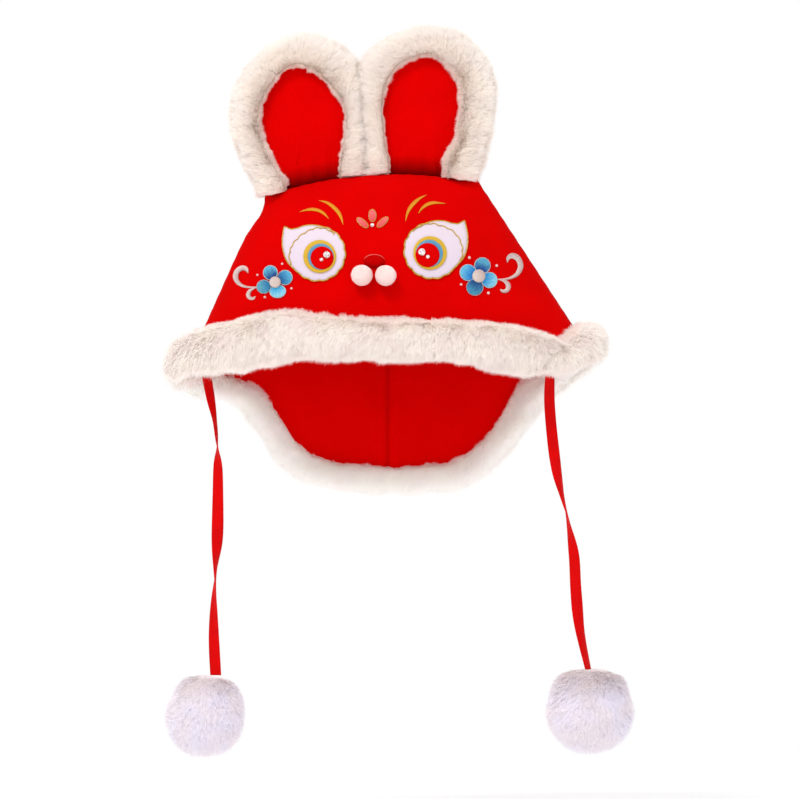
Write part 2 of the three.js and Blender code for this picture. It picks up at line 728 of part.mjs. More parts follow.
function circleOutline(x, z, radius, count, shape = () => 1) {
  return Array.from({ length: count }, (_, i) => {
    const angle = (2 * Math.PI * i) / count;
    const r = radius * shape(angle);
    return [x + r * Math.cos(angle), z + r * Math.sin(angle)];
  });
}

// A circle with a leaf-shaped corner; the corner's table gives the points there.
function eyeOutline({ x, z, radius, tail, turn }) {
  const extra = EYE_TAIL.map((row) => ({ angle: tail - turn * row.turn, r: radius + row.extra }));
  const start = tail - turn * EYE_TAIL[0].turn;
  const end = tail - turn * EYE_TAIL[EYE_TAIL.length - 1].turn;
  const rest = 360 - Math.abs(end - start);
  const count = 14;
  const round = Array.from({ length: count }, (_, i) => (
    { angle: end - turn * (rest * (i + 1)) / (count + 1), r: radius }));
  return [...extra, ...round].map(({ angle, r }) => (
    [x + r * Math.cos(degToRad(angle)), z + r * Math.sin(degToRad(angle))]));
}

function eyeRing(eye) {
  const base = 2 * THREAD.gap + THREAD.patch;
  const count = 20;
  const outer = circleOutline(eye.ringX, eye.ringZ, eye.ring, count);
  const inner = circleOutline(eye.pupilX, eye.pupilZ, eye.pupil + 0.4, count);
  return loft(outer.map(([x, z], i) => [
    onFront(x, z, base),
    onFront(x, z, base + 0.7 * THREAD.ring),
    onFront(...inner[i], base + THREAD.ring),
    onFront(...inner[i], base),
  ]), { closed: true });
}

const petalOutline = ({ x, z, length, width, angle }) => {
  const [c, s] = [Math.cos(degToRad(angle)), Math.sin(degToRad(angle))];
  return circleOutline(0, 0, 1, 12).map(([a, b]) => (
    [x + a * length * c - b * width * s, z + a * length * s + b * width * c]));
};

// Distance from a flower's middle to its edge: four round petals about a round centre.
function flowerShape({ angle, petal, reach, centre }) {
  return (direction) => {
    const quarter = Math.PI / 2;
    const turned = direction - degToRad(angle);
    const off = turned - quarter * Math.round(turned / quarter);
    const side = reach * Math.sin(off);
    const petalEdge = Math.abs(side) < petal ? reach * Math.cos(off) + Math.sqrt(petal ** 2 - side ** 2) : 0;
    return Math.max(petalEdge, centre + 0.8);
  };
}

// A raised strip of embroidery along points with x, z and width.
function embroideredStrip(sections, rise) {
  const rings = sections.map(({ x, z, width }, i) => {
    const before = sections[Math.max(i - 1, 0)];
    const after = sections[Math.min(i + 1, sections.length - 1)];
    const side = new THREE.Vector2(before.z - after.z, after.x - before.x).normalize();
    const spot = (share, lift) => onFront(x + side.x * width * share, z + side.y * width * share, lift);
    const base = THREAD.gap;
    return [spot(-0.5, base), spot(-0.28, base + rise), spot(0.28, base + rise), spot(0.5, base)];
  });
  return loft(rings, { caps: [[0, 1, 2], [0, 2, 3]] });
}

function brow([start, middle, end]) {
  const curve = new THREE.SplineCurve([start, middle, end].map(([x, z]) => new THREE.Vector2(x, z)));
  const steps = 8;
  const sections = curve.getPoints(steps).map((p, i) => (
    { x: p.x, z: p.y, width: 0.3 + BROW_WIDTH * Math.sin((Math.PI * i) / steps) }));
  return embroideredStrip(sections, THREAD.brow);
}

function scroll(table) {
  const curve = curveThrough(table, ["x", "z", "width"]);
  const steps = 2 * (table.length - 1);
  const sections = Array.from({ length: steps + 1 }, (_, i) => {
    const [x, z, width] = curve(i / steps);
    return { x, z, width };
  });
  return embroideredStrip(sections, THREAD.scroll);
}

// Pompoms: a round head of locks about an axis that points along the tie.
function pompom(centre, axis, radii, lock, around, rings) {
  const frame = new THREE.Quaternion().setFromUnitVectors(point(0, 0, 1), axis.clone().normalize());
  const place = (polar, angle, lift) => {
    const direction = point(
      Math.sin(polar) * Math.cos(angle),
      Math.sin(polar) * Math.sin(angle),
      Math.cos(polar),
    ).applyQuaternion(frame);
    return centre.clone().add(direction.clone().multiply(radii)).addScaledVector(direction, lift);
  };
  const rows = Array.from({ length: rings }, (_, i) => Array.from({ length: around }, (_, j) => {
    const raised = (i + j) % 2 === 0;
    const lift = raised ? lock * (1 + 0.3 * scatter(i, j)) : -0.5 * lock;
    const polar = (Math.PI * (i + 1)) / (rings + 1);
    return place(polar, (2 * Math.PI * j) / around + 0.08 * scatter(j, i), lift);
  }));
  const solid = new Solid();
  const indexRows = rows.map((row) => solid.addRing(row));
  solid.fan(solid.add(place(0, 0, 0)), indexRows[0], false);
  for (let i = 0; i + 1 < rings; i += 1) solid.band(indexRows[i], indexRows[i + 1], true);
  solid.fan(solid.add(place(Math.PI, 0, 0)), indexRows[rings - 1], true);
  return solid.geometry();
}

function muzzleBall({ x, z, radius }) {
  const lock = 0.6;
  const stand = radius - 0.3;
  const outward = onFront(x, z, 1).sub(onFront(x, z, 0)).normalize();
  const centre = onFront(x, z - stand * outward.z, 0).addScaledVector(outward, stand);
  return pompom(centre, outward, point(radius, radius, radius).addScalar(-lock), lock, 12, 7);
}

// Ties

function tie(table) {
  const curve = curveThrough(table, ["x", "z", "turn"]);
  const rings = Array.from({ length: TIE.steps + 1 }, (_, i) => {
    const [x, z, turn] = curve(i / TIE.steps);
    const across = point(Math.cos(degToRad(turn)), Math.sin(degToRad(turn)), 0);
    const through = point(-across.y, across.x, 0);
    const corner = (a, b) => point(x, TIE.y, z)
      .addScaledVector(across, (a * TIE.width) / 2)
      .addScaledVector(through, (b * TIE.thickness) / 2);
    return [corner(-1, -1), corner(1, -1), corner(1, 1), corner(-1, 1)];
  });
  return loft(rings, { caps: [[0, 1, 2], [0, 2, 3]] });
}

function tiePompom({ x, z, radiusX, radiusY, radiusZ, lock }, table) {
  const end = table[table.length - 1];
  const centre = point(x, TIE.y, z);
  const axis = point(end.x, TIE.y, end.z).sub(centre);
  return pompom(centre, axis, point(radiusX, radiusY, radiusZ), lock, 20, 13);
}

// Assembly

const hat = new THREE.Group();
hat.name = "bunny_ear_hat";

function addPiece(name, geometry, material) {
  const mesh = new THREE.Mesh(geometry, new THREE.MeshStandardMaterial(MATERIALS[material]));
  mesh.name = name;
  hat.add(mesh);
}

addPiece("crown_front", clothSheet(FRONT, FRONT_ROWS, CLOTH, 0), "redCloth");
addPiece("crown_back", clothSheet(BACK, BACK_ROWS, CLOTH, 0), "redCloth");
addPiece("lining_front", clothSheet(FRONT, FRONT_ROWS, -GAP, -GAP - LINING), "redLining");
addPiece("lining_back", clothSheet(BACK, BACK_ROWS, -GAP, -GAP - LINING), "redLining");
addPiece("fur_band", furBand(), "whiteFur");

for (const [name, table, side] of [["left", EAR_LEFT, -1], ["right", EAR_RIGHT, 1]]) {
  addPiece(`ear_${name}`, earCloth(table), "redCloth");
  addPiece(`ear_fur_${name}`, earFur(table, side), "whiteFur");
}

for (const [name, eye] of Object.entries(EYES)) {
  const patch = applique(eyeOutline(eye), [eye.x, eye.z], THREAD.gap, THREAD.patch);
  addPiece(`eye_patch_${name}`, patch, "whiteThread");
  addPiece(`eye_ring_${name}`, eyeRing(eye), "goldThread");
  const dome = circleOutline(eye.pupilX, eye.pupilZ, eye.pupil, 16);
  const base = 2 * THREAD.gap + THREAD.patch;
  const pupil = applique(dome, [eye.pupilX, eye.pupilZ], base, THREAD.pupil, 0.7);
  addPiece(`pupil_${name}`, pupil, "redVelvet");
}

for (const [name, line] of Object.entries(BROWS)) addPiece(`brow_${name}`, brow(line), "goldThread");

for (const [name, petal] of Object.entries(PETALS)) {
  const shape = applique(petalOutline(petal), [petal.x, petal.z], THREAD.gap, THREAD.petal, 0.5);
  addPiece(`petal_${name}`, shape, "pinkThread");
}

const noseOutline = circleOutline(0, 0, 1, 14).map(([a, b]) => (
  [NOSE.x + a * NOSE.halfWidth, NOSE.z + b * NOSE.halfHeight]));
addPiece("nose", applique(noseOutline, [NOSE.x, NOSE.z], THREAD.gap, NOSE.rise, 0.8), "redVelvet");
for (const [name, ball] of Object.entries(MUZZLE)) addPiece(`muzzle_${name}`, muzzleBall(ball), "whiteFur");

for (const [name, flower] of Object.entries(FLOWERS)) {
  const { x, z, centre } = flower;
  const outline = circleOutline(x, z, 1, 32, flowerShape(flower));
  addPiece(`flower_${name}`, applique(outline, [x, z], THREAD.gap, THREAD.flower), "blueThread");
  const button = applique(circleOutline(x, z, centre, 12), [x, z],
    2 * THREAD.gap + THREAD.flower, THREAD.flowerCentre, 0.8);
  addPiece(`flower_centre_${name}`, button, "silverThread");
}

for (const [name, table] of Object.entries(SCROLLS)) addPiece(`scroll_${name}`, scroll(table), "silverThread");

for (const [name, table] of [["left", TIE_LEFT], ["right", TIE_RIGHT]]) {
  addPiece(`tie_${name}`, tie(table), "redRibbon");
  addPiece(`tie_pompom_${name}`, tiePompom(POMPOMS[name], table), "pompomFur");
}

export default hat;
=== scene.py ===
import math

import bmesh
import bpy
import numpy as np
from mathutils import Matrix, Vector, kdtree


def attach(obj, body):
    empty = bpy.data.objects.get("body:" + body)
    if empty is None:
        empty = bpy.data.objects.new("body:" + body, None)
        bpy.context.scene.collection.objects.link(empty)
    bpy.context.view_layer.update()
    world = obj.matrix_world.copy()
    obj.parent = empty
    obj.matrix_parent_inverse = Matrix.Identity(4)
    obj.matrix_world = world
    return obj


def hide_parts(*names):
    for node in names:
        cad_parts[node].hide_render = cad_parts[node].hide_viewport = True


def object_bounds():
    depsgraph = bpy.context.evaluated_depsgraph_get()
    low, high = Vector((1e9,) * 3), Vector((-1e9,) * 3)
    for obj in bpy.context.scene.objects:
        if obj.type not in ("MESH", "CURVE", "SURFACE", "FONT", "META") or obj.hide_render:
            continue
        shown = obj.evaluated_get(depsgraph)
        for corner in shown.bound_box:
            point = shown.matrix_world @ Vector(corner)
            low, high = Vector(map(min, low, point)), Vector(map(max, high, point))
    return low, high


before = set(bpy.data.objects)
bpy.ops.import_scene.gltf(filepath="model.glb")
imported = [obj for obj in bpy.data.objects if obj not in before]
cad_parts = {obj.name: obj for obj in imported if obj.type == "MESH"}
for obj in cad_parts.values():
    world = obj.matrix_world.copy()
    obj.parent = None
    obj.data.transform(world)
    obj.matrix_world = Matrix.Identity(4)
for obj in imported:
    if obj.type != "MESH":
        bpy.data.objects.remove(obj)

# The looks of the bunny ear hat. Sizes are in millimetres and angles in degrees unless a name
# says otherwise. +X is to the viewer's right, +Z is up and the face looks along -Y. The crown,
# the rim and the ears follow the same named sizes as the CAD model.

CAD_BOX = [list(corner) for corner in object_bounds()]
MM = 0.001
FRONT, BACK = -1, 1

# Camera: straight from the front, far enough away for the flat look of the photograph.
VIEW = {"x": 13.0, "z": -142.35, "width": 520.0, "away": 12000.0, "sensor": 36}
# Floor below the lowest pompom. Lights: place and target in metres, width in metres, watts.
STAGE = {"radius": 1100.0, "below": 30}
LIGHTS = [
    ("key", (-0.5, -0.95, 1.15), (0, 0, -0.08), 0.45, 11.0),
    ("fill", (0.4, -1.3, -0.5), (0, 0, -0.2), 0.9, 4.0),
]
# Light has to pass many pale hairs before it comes out of the fur again.
BOUNCES = 24

# Ribbon ties, in metres: middle line from the rim to the pompom, and the turn of the flat face.
TIE = {"width": 0.0076, "thickness": 0.0009, "cup": 0.0007, "y": -0.018, "steps": 150}
TIE_LEFT = [
    (-0.1126, -0.1263, 40), (-0.1096, -0.143, 50), (-0.1072, -0.156, 70), (-0.1058, -0.170, 84),
    (-0.1052, -0.186, 138), (-0.1052, -0.208, 168), (-0.1056, -0.232, 205), (-0.1068, -0.250, 250),
    (-0.1078, -0.272, 296), (-0.1078, -0.296, 325), (-0.1066, -0.321, 345),
]
TIE_RIGHT = [
    (0.1103, -0.1261, 42), (0.1100, -0.143, 30), (0.1116, -0.164, 12), (0.1146, -0.188, 38),
    (0.1184, -0.206, 72), (0.1230, -0.226, 112), (0.1260, -0.244, 150), (0.1272, -0.266, 178),
    (0.1296, -0.291, 222), (0.1351, -0.3172, 240),
]
POMPOMS = {
    "left": {"centre": (-113.6, -18, -346.7), "radii": (26.2, 26.2, 26.2)},
    "right": {"centre": (136.7, -18, -343.4), "radii": (29.2, 27.2, 27.2)},
}

CROWN = {
    "top_left": (-73, -9.5), "top_right": (62, -1), "hem_left": -124, "hem_right": 133,
    "top_arch": 8.2, "depth": 52, "roundness": 0.6, "dip": 4, "dip_width": 9, "dip_drop": 15,
    "flap_lean": 9, "flap_drop": 84,
}
CLOTH, LINING, GAP = 2.0, 1.0, 0.3
FRONT_HEM = [
    (-1.0, -123), (-0.9, -116), (-0.62, -107.5), (-0.45, -105), (-0.18, -107), (0.32, -109),
    (0.65, -116.5), (0.86, -120.5), (1.0, -109),
]
BACK_HEM = [
    (-1.0, -123), (-0.9, -132.5), (-0.8, -135), (-0.69, -144), (-0.6, -159), (-0.5, -177),
    (-0.4, -187), (-0.25, -193), (0.05, -196), (0.34, -193.5), (0.46, -187), (0.58, -173),
    (0.67, -158), (0.74, -144), (0.83, -134.5), (0.93, -121), (1.0, -109),
]

# Way in or out of the left side seam at a drop below the top.
LEFT_SEAM = [
    (0, 0), (5, 2), (10, 3.2), (15, 2.8), (21, 1), (28, -0.3), (40, -0.7), (70, -0.7), (115, -0.5),
]
# Where the flap's lining is stitched along its middle.
LINING_SEAM = 5
# Unevenness of the padded cloth: its swells, and the puckers at its sides and along its top.
RELIEF = {"swells": 0.55, "sides": 0.1, "top": 0.15}

# Fur strip round the rim: thickness and height on the hat's outside and inside, how far it
# stands below the cloth's edge, and the room round the cloth.
FUR_SIZES = {
    "front": (12.5, 20, 10, 6, 12, 0.45),
    "corner": (13.4, 20, 9, 4.5, 9, 1.3),
    "back": (8, 11, 7.5, 7, 10, 0.8),
}
# How far the front strip's upper edge and the hair below the rim differ from the plain strip,
# at places from the left corner at -1 to the right corner at 1.
FUR_TOP = [
    (-1, -1.6), (-0.88, 0.2), (-0.75, 0.4), (-0.6, 1.6), (-0.5, 1.4), (-0.42, -0.6), (-0.3, -1.4),
    (0, -1.6), (0.3, -1.8), (0.42, -0.4), (0.52, 1.4), (0.65, 1.4), (0.78, -0.6), (0.88, -7.6),
    (0.94, -7.8), (1, -6.6),
]
FUR_LOW = [
    (-1, 0), (-0.85, 0.3), (-0.75, 2.6), (-0.6, 2.8), (-0.5, 1), (-0.4, -0.6), (-0.2, -2.4),
    (0, -2.8), (0.2, -3.6), (0.35, -4), (0.5, -2.6), (0.7, -2.4), (0.85, -5.4), (0.93, -6.5),
    (1, -3.5),
]
# The same at the back, and for the strip's upper edge inside the hat.
BACK_TOP = [(-1, -1.6), (-0.9, -1.2), (-0.8, 0), (0.8, 0), (0.9, -7.6), (1, -6.6)]
BACK_LOW = [
    (-1, 0), (-0.85, -0.8), (-0.75, -3.2), (-0.62, -2.2), (-0.5, 0), (0.45, 0), (0.58, -0.5),
    (0.76, -1.5), (0.84, -6.5), (0.93, -7.5), (1, -4),
]
BACK_INSIDE = [
    (-1, 0), (-0.8, -1.2), (-0.66, 1), (-0.56, 0), (0.5, 0), (0.62, -0.3), (0.74, 3), (0.82, 3.5),
    (0.9, 0), (1, 0),
]
# The strip is joined at the back, where its hair parts.
JOIN = {"x": 9.75, "width": 3.0}
# Section of the fur: side of the cloth, share of the thickness, share of the height.
FUR_SECTION = [
    ("out", 0.7, 0.9), ("out", 1.0, 0.5), ("out", 0.98, 0.05), ("out", 0.75, -0.65),
    ("out", 0.2, -1.0), ("in", 0.65, -0.75), ("in", 1.0, 0.05), ("in", 0.8, 0.8),
]

# Ears: outer edge of the fur and edge of the cloth, from the base over the top to the base.
EAR_LEFT = [
    (-77.3, -14.5, -59.5, -8), (-82, -1, -59, -0.5), (-88.6, 12, -66, 11), (-95.9, 35, -75, 32),
    (-95.2, 55, -73.8, 51.5), (-86.3, 72.5, -66.8, 63.5), (-69.3, 88.6, -59.8, 70.6),
    (-47.5, 94.6, -53, 73), (-29, 90, -43, 68), (-15.5, 78, -33.8, 59.5), (-12.5, 56, -25, 46),
    (-11, 33, -25, 31), (-10, 15, -28.4, 14), (-9, -2, -29.5, -2),
]
EAR_RIGHT = [
    (-8, -2, 9.3, -2), (-9.2, 14, 8.6, 13), (-10.5, 33, 5.3, 28), (-12, 59, 4.2, 52),
    (-12.5, 76, 8.4, 66), (-2, 88.5, 16.4, 75), (13, 96.3, 25.5, 78.5), (32, 100.3, 34.6, 79),
    (52.8, 96, 42.2, 73.2), (67.5, 83, 49, 64.5), (75.2, 62, 50, 52), (74, 42, 48.4, 39),
    (71.5, 27, 46.6, 26), (68.3, 15, 39.6, 15), (62.5, -3, 39, -3),
]
EAR = {
    "depth": 11.5, "edge": 2.0, "lip": 2.6, "middle": 4.2, "cover": 0.5, "room": 0.4, "fold": 1.5,
    "soft": 0.4, "pinch": 0.8, "fur_in": 1.6, "fur_foot": 1.6,
}
EAR_SECTION = [
    (0.06, 0.75), (0.42, 1.0), (0.8, 0.78), (0.95, 0), (0.8, -0.78), (0.42, -1.0), (0.06, -0.75),
]
EAR_DIVIDE = {"x": -13.7, "z": 77, "slope": -0.07}
FELT_STRIP = {"x": (-26, 6), "half": 4, "low": -2, "high": 5}

# Hair on the fur strips, from a lip at 0 to the outer edge at 0.5. Each strip: points across it,
# how deep the backing lies under the outline, the hair's length and how far it is combed over at
# those shares, the size of its swells and swirls, how uneven it is, and how ragged near a lip.
COAT = {"belly": 3.3, "swells": 0.8, "swirls": 0.4, "tufts": 0.35, "tuft_share": 0.15, "patch": 20}
REACH_SHARES = (0, 0.1, 0.2, 0.35, 0.5)
COMB_SHARES = (0, 0.1, 0.3, 0.42, 0.5)
RIM_COAT = {
    "across": 26, "deep": 1.4, "reach": (3.4, 4, 5.4, 7.4, 8.2),
    "comb": (0.1, 1.0925, 1.15, 0.92, 0), "swell": 16, "swirl": 24, "uneven": 0.14,
    "ragged": (0.35, 8, 0.1),
}
EAR_COAT = {
    "across": 24, "deep": 1.3, "reach": (3.2, 3.8, 5.2, 7.2, 8.2),
    "comb": (0.5, 1.0925, 1.15, 0.92, 0), "swell": 15, "swirl": 22, "uneven": 0.12,
    "ragged": (0.6, 9, 0.12),
}
# Single hairs: how far one strays to another lock, how much locks and hairs differ in length, how
# much a hair follows its lock and turns its own way, and how far it stays from the lock's tip.
HAIR = {
    "stray": 0.22, "lock_sizes": 0.12, "sizes": 0.14, "follow": 0.45, "own": 0.16, "apart": 0.25,
    "twist": 0.35,
}
# How far the fur of the neck flap lies to the left of its cloth.
FLAP_SHIFT = 1.4
# Round fur: the backing's and the hair's share of the radius, the way the hair hangs, and how far
# a tie's pompom swells up to its ribbon and dips where the ribbon enters.
POMPOM_COAT = {"core": 0.85, "hair": 0.2, "hang": (0.2, 0, 1.05), "neck": 0.18, "dip": 0.06}
MUZZLE_COAT = {"core": 0.86, "hair": 0.2, "hang": (0.2, 0, 1.1)}
HAIRS = {"rim_front": 160000, "rim_back": 118000, "ear": 112000, "pompom": 78000, "muzzle": 15000}

# Embroidered face, placed as it is seen from the front. SINK is how far an edge goes into the
# cloth. Patches: height of the edge above the cloth, rise to the middle, and how domed, from 0 to
# 1. Bands: the first two. Cords: radius, and height of the middle line above the cloth.
SINK = 0.5
PATCHES = {
    "eye_white": (0.35, 0.9, 0.35), "eye_gold": (1.2, 1.0, 0.25), "eye_blue": (2.0, 0.5, 0.2),
    "eye_dome": (2.2, 1.5, 0.85), "forehead": (0.3, 1.0, 0.6), "petal": (0.35, 1.0, 0.55),
    "button": (1.3, 1.8, 0.85), "nose": (0.1, 3.4, 0.95),
}
PETAL_STEP = 0.08
BANDS = {"brow": (0.2, 0.7), "scroll": (0.2, 0.8)}
CORDS = {
    "eye_edge": (0.5, 0.75), "eye_line": (0.42, 1.2), "forehead": (0.27, 0.55),
    "petal": (0.26, 0.7), "nose": (0.24, 0.35),
}
BEAD_LIFT, GLINT_LIFT = 0.2, 3.5
EYES = {
    "left": {
        "middle": (-40.2, -47.5), "radius": 17.6, "tail": 141, "turn": 1,
        "ring": (-39, -49.4, 10.7), "blue": (-38.3, -49.5, 8.5), "pupil": (-37.5, -50.3, 7.5),
        "line": [(48, 16.2), (70, 16.8), (92, 16.6), (114, 15.9), (141, 16.3), (164, 17.5),
                 (182, 18.4), (206, 18.9)],
        "glints": [(-34.3, -48.5, 2.3), (-37.7, -51.5, 1.2)],
    },
    "right": {
        "middle": (33.9, -45.5), "radius": 18.1, "tail": 43, "turn": -1,
        "ring": (32.5, -47.1, 10.9), "blue": (32.0, -47.4, 8.9), "pupil": (30.9, -48.5, 7.9),
        "line": [(136, 17.6), (115, 17.5), (92, 17.5), (72, 16.9), (50, 17.9), (28, 18.8),
                 (8, 19.4), (-8, 19.6), (-24, 19.2)],
        "glints": [(27.0, -46.8, 2.4), (30.9, -49.7, 1.25)],
    },
}
EYE_TAIL = [
    (-84, 0), (-70, 0.8), (-56, 2.6), (-36, 4.7), (-22, 6.5), (-10, 8.3), (0, 10.4), (3, 5.8),
    (12, 3.5), (26, 2.4), (41, 1.2), (60, 0),
]
# Rows of x, z and width along each stitched shape.
BROWS = {
    "left_outer": [(-52.1, -20.3, 0.2), (-48, -19.1, 1.3), (-43.6, -18.7, 2.1), (-39.2, -19.7, 2),
                   (-35.8, -21.9, 1.5), (-33.1, -25, 0.2)],
    "left_inner": [(-39.7, -12.9, 0.2), (-34.7, -14.2, 1.6), (-30.3, -17.1, 2.4), (-27, -20.6, 2.4),
                   (-25, -24.5, 1.7), (-23.9, -28.7, 0.2)],
    "right_inner": [(16.6, -26.5, 0.2), (17.4, -22.4, 1.3), (19.2, -18.2, 2.2), (22.2, -14.5, 2.4),
                    (26, -11.4, 1.5), (30.2, -9.3, 0.2)],
    "right_outer": [(24.9, -21.5, 0.2), (27.1, -18.2, 1.4), (30.5, -15.6, 2.2), (34.3, -14.4, 2),
                    (38.5, -14.5, 1.1), (42.6, -14.9, 0.2)],
}
PETALS = {
    "middle": (-4.9, -22.8, 4.0, 2.4, 92),
    "left": (-11.3, -27.5, 4.6, 1.95, 139),
    "right": (1.7, -27.1, 4.6, 1.95, 43),
}
NOSE = {"x": -3.6, "z": -52.4, "width": 6.8, "height": 4.2}
MUZZLE = {"left": (-11.2, -61.0, 7.1), "right": (3.7, -61.2, 7.0)}
# Flowers: middle and its radius, then each petal's x, z, radius, length for its width, angle, and
# its colours at the root and at the tip.
FLOWERS = {
    "left": {
        "middle": (-67.9, -66.0, 3.75),
        "petals": [
            (-71, -59.8, 4.6, 1.0, 0, (8, 70, 140), (92, 182, 214)),
            (-61.5, -63, 4.7, 1.0, 0, (20, 104, 164), (84, 174, 212)),
            (-66.2, -72, 4.1, 1.27, 5, (40, 166, 220), (150, 216, 236)),
            (-75.3, -68.9, 4.3, 1.05, 0, (34, 122, 170), (96, 168, 190)),
        ],
    },
    "right": {
        "middle": (64.1, -62.0, 4.3),
        "petals": [
            (66.4, -55.2, 5.1, 1.0, 0, (8, 72, 150), (88, 174, 206)),
            (57, -59.8, 5.2, 1.0, 0, (16, 132, 212), (106, 190, 226)),
            (71, -64.6, 5.0, 1.0, 0, (24, 146, 214), (140, 212, 236)),
            (61.5, -69.3, 5.2, 1.02, 0, (10, 78, 140), (70, 150, 184)),
        ],
    },
}
DOTS = [
    (-63.2, -54.2, 0.85), (-79.3, -61.4, 0.8), (-74.4, -75.8, 0.85), (-57.2, -70.1, 0.8),
    (57.8, -50.2, 1.0), (75.5, -55.4, 0.95), (52.5, -67.6, 0.9), (70.1, -73.1, 1.0),
]
FOREHEAD_PEARL = (-5, -29.2, 1.3)
SCROLLS = {
    "large_left": [
        (-85.6, -60.1, 0.3), (-86.6, -57.7, 2.6), (-88.7, -56.6, 3.2), (-90.9, -57.2, 3.4),
        (-92.7, -58.8, 3.4), (-93.6, -60.8, 3.5), (-93.7, -62.9, 3.4), (-93, -64.9, 3),
        (-91.4, -66.8, 2.5), (-89.2, -68.2, 1.9), (-86.5, -69, 1.4), (-83.6, -69.2, 1.1),
        (-80, -69.2, 0.8),
    ],
    "small_left": [
        (-80.2, -69.4, 0.5), (-82.6, -70.4, 1.5), (-84.5, -71.8, 2.3), (-85.4, -73.7, 2.8),
        (-85.1, -75.4, 2.7), (-83.6, -76.5, 2.2), (-81.9, -76.3, 1.8), (-80.7, -75, 0.3),
    ],
    "large_right": [
        (82.7, -53.2, 0.3), (83, -50.6, 2.4), (84.8, -48.9, 3.4), (87.1, -49, 4),
        (89.4, -50.4, 3.9), (90.8, -52.9, 3.7), (91.3, -55.5, 3.6), (90.6, -58.1, 3.4),
        (89.1, -60.4, 2.8), (86.8, -62.2, 2.2), (84.2, -63.3, 1.6), (81.4, -63.9, 1.1),
        (78.3, -64.1, 0.8), (76.3, -64.1, 0.6),
    ],
    "small_right": [
        (76.7, -64.2, 0.5), (79, -64.5, 1.5), (81.1, -65.4, 2.4), (82.8, -67.1, 3.1),
        (83.3, -69.1, 3.2), (82.3, -71.1, 2.9), (80.4, -71.9, 2.3), (78.8, -71.4, 1.8),
        (78, -70.5, 0.3),
    ],
}


# Numbers

def unit(v):
    v = np.asarray(v, float)
    return v / np.maximum(np.linalg.norm(v, axis=-1, keepdims=True), 1e-9)


def blend(x, low, high):
    """0 below low, 1 above high, and smooth in between."""
    t = np.clip((np.asarray(x, float) - low) / (high - low), 0, 1)
    return t * t * (3 - 2 * t)


def waves(p, size, seed):
    """An uneven smooth value of about -1 to 1 over points, with swells of a given size."""
    rng = np.random.default_rng(seed)
    count, total = 7, 0.0
    for _ in range(count):
        direction = unit(rng.normal(size=p.shape[-1]))
        pitch = size * rng.uniform(0.7, 1.5)
        total = total + np.sin(p @ direction * (2 * math.pi / pitch) + rng.uniform(0, 2 * math.pi))
    return total * 0.55 / math.sqrt(count)


def swirl(points, size, seed):
    """An uneven direction that turns slowly from place to place."""
    return np.stack([waves(points, size, seed + k) for k in range(3)], -1)


def read(table, x):
    """The value at x in a table of pairs."""
    return np.interp(x, *np.array(table).T)


def curve_through(rows, count):
    """A number of smooth values through the rows of a table."""
    rows = np.asarray(rows, float)
    place = np.linspace(0, 1, count) * (len(rows) - 1)
    i = np.minimum(place.astype(int), len(rows) - 2)
    f = (place - i).reshape(-1, *[1] * (rows.ndim - 1))
    a, b = rows[i], rows[i + 1]
    slope_a = (b - rows[np.maximum(i - 1, 0)]) / 2
    slope_b = (rows[np.minimum(i + 2, len(rows) - 1)] - a) / 2
    return ((2 * f**3 - 3 * f**2 + 1) * a + (f**3 - 2 * f**2 + f) * slope_a
            + (3 * f**2 - 2 * f**3) * b + (f**3 - f**2) * slope_b)


def length_of(points):
    return float(np.linalg.norm(np.diff(points, axis=0), axis=1).sum())


def distances(points):
    """How far along its line each point lies."""
    return np.concatenate([[0], np.cumsum(np.linalg.norm(np.diff(points, axis=0), axis=1))])


# Meshes

def grid_faces(rows, columns, wrap_rows=False, wrap_columns=False, first=0):
    i = np.arange(rows if wrap_rows else rows - 1)[:, None]
    j = np.arange(columns if wrap_columns else columns - 1)[None]
    k, m = (i + 1) % rows, (j + 1) % columns
    quads = np.stack([i * columns + j, k * columns + j, k * columns + m, i * columns + m], -1)
    return first + quads.reshape(-1, 4)


def fan_faces(centre, ring):
    return np.stack([np.full(len(ring), centre), ring, np.roll(ring, -1)], -1)


def add_object(name, data):
    made = bpy.data.objects.new(name, data)
    bpy.context.scene.collection.objects.link(made)
    return made


def make_piece(name, points, faces, material, replaces=(), uv=None, kinds=None):
    """A mesh object of the hat. faces is a list of arrays of triangles or quads, and kinds gives
    each array's place in the list of materials."""
    faces = [np.asarray(f, int) for f in faces]
    loops = np.concatenate([f.ravel() for f in faces])
    sizes = np.concatenate([np.full(len(f), f.shape[1]) for f in faces])
    mesh = bpy.data.meshes.new(name)
    mesh.vertices.add(len(points))
    mesh.vertices.foreach_set("co", (np.asarray(points, float) * MM).ravel())
    mesh.loops.add(len(loops))
    mesh.loops.foreach_set("vertex_index", loops)
    mesh.polygons.add(len(sizes))
    mesh.polygons.foreach_set("loop_start", np.concatenate([[0], np.cumsum(sizes)[:-1]]))
    mesh.polygons.foreach_set("use_smooth", np.full(len(sizes), True))
    if kinds is not None:
        which = np.concatenate([np.full(len(f), k) for f, k in zip(faces, kinds)])
        mesh.polygons.foreach_set("material_index", which)
    mesh.update(calc_edges=True)
    if uv is not None:
        layer = mesh.uv_layers.new(name="stitch")
        layer.data.foreach_set("uv", np.asarray(uv, float)[loops].ravel())
    for m in material if isinstance(material, (list, tuple)) else [material]:
        mesh.materials.append(m)
    if kinds is None:
        shell = bmesh.new()
        shell.from_mesh(mesh)
        bmesh.ops.recalc_face_normals(shell, faces=shell.faces)
        shell.to_mesh(mesh)
        shell.free()
    obj = add_object(name, mesh)
    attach(obj, "root")
    if replaces:
        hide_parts(*replaces)
    return obj


# Materials

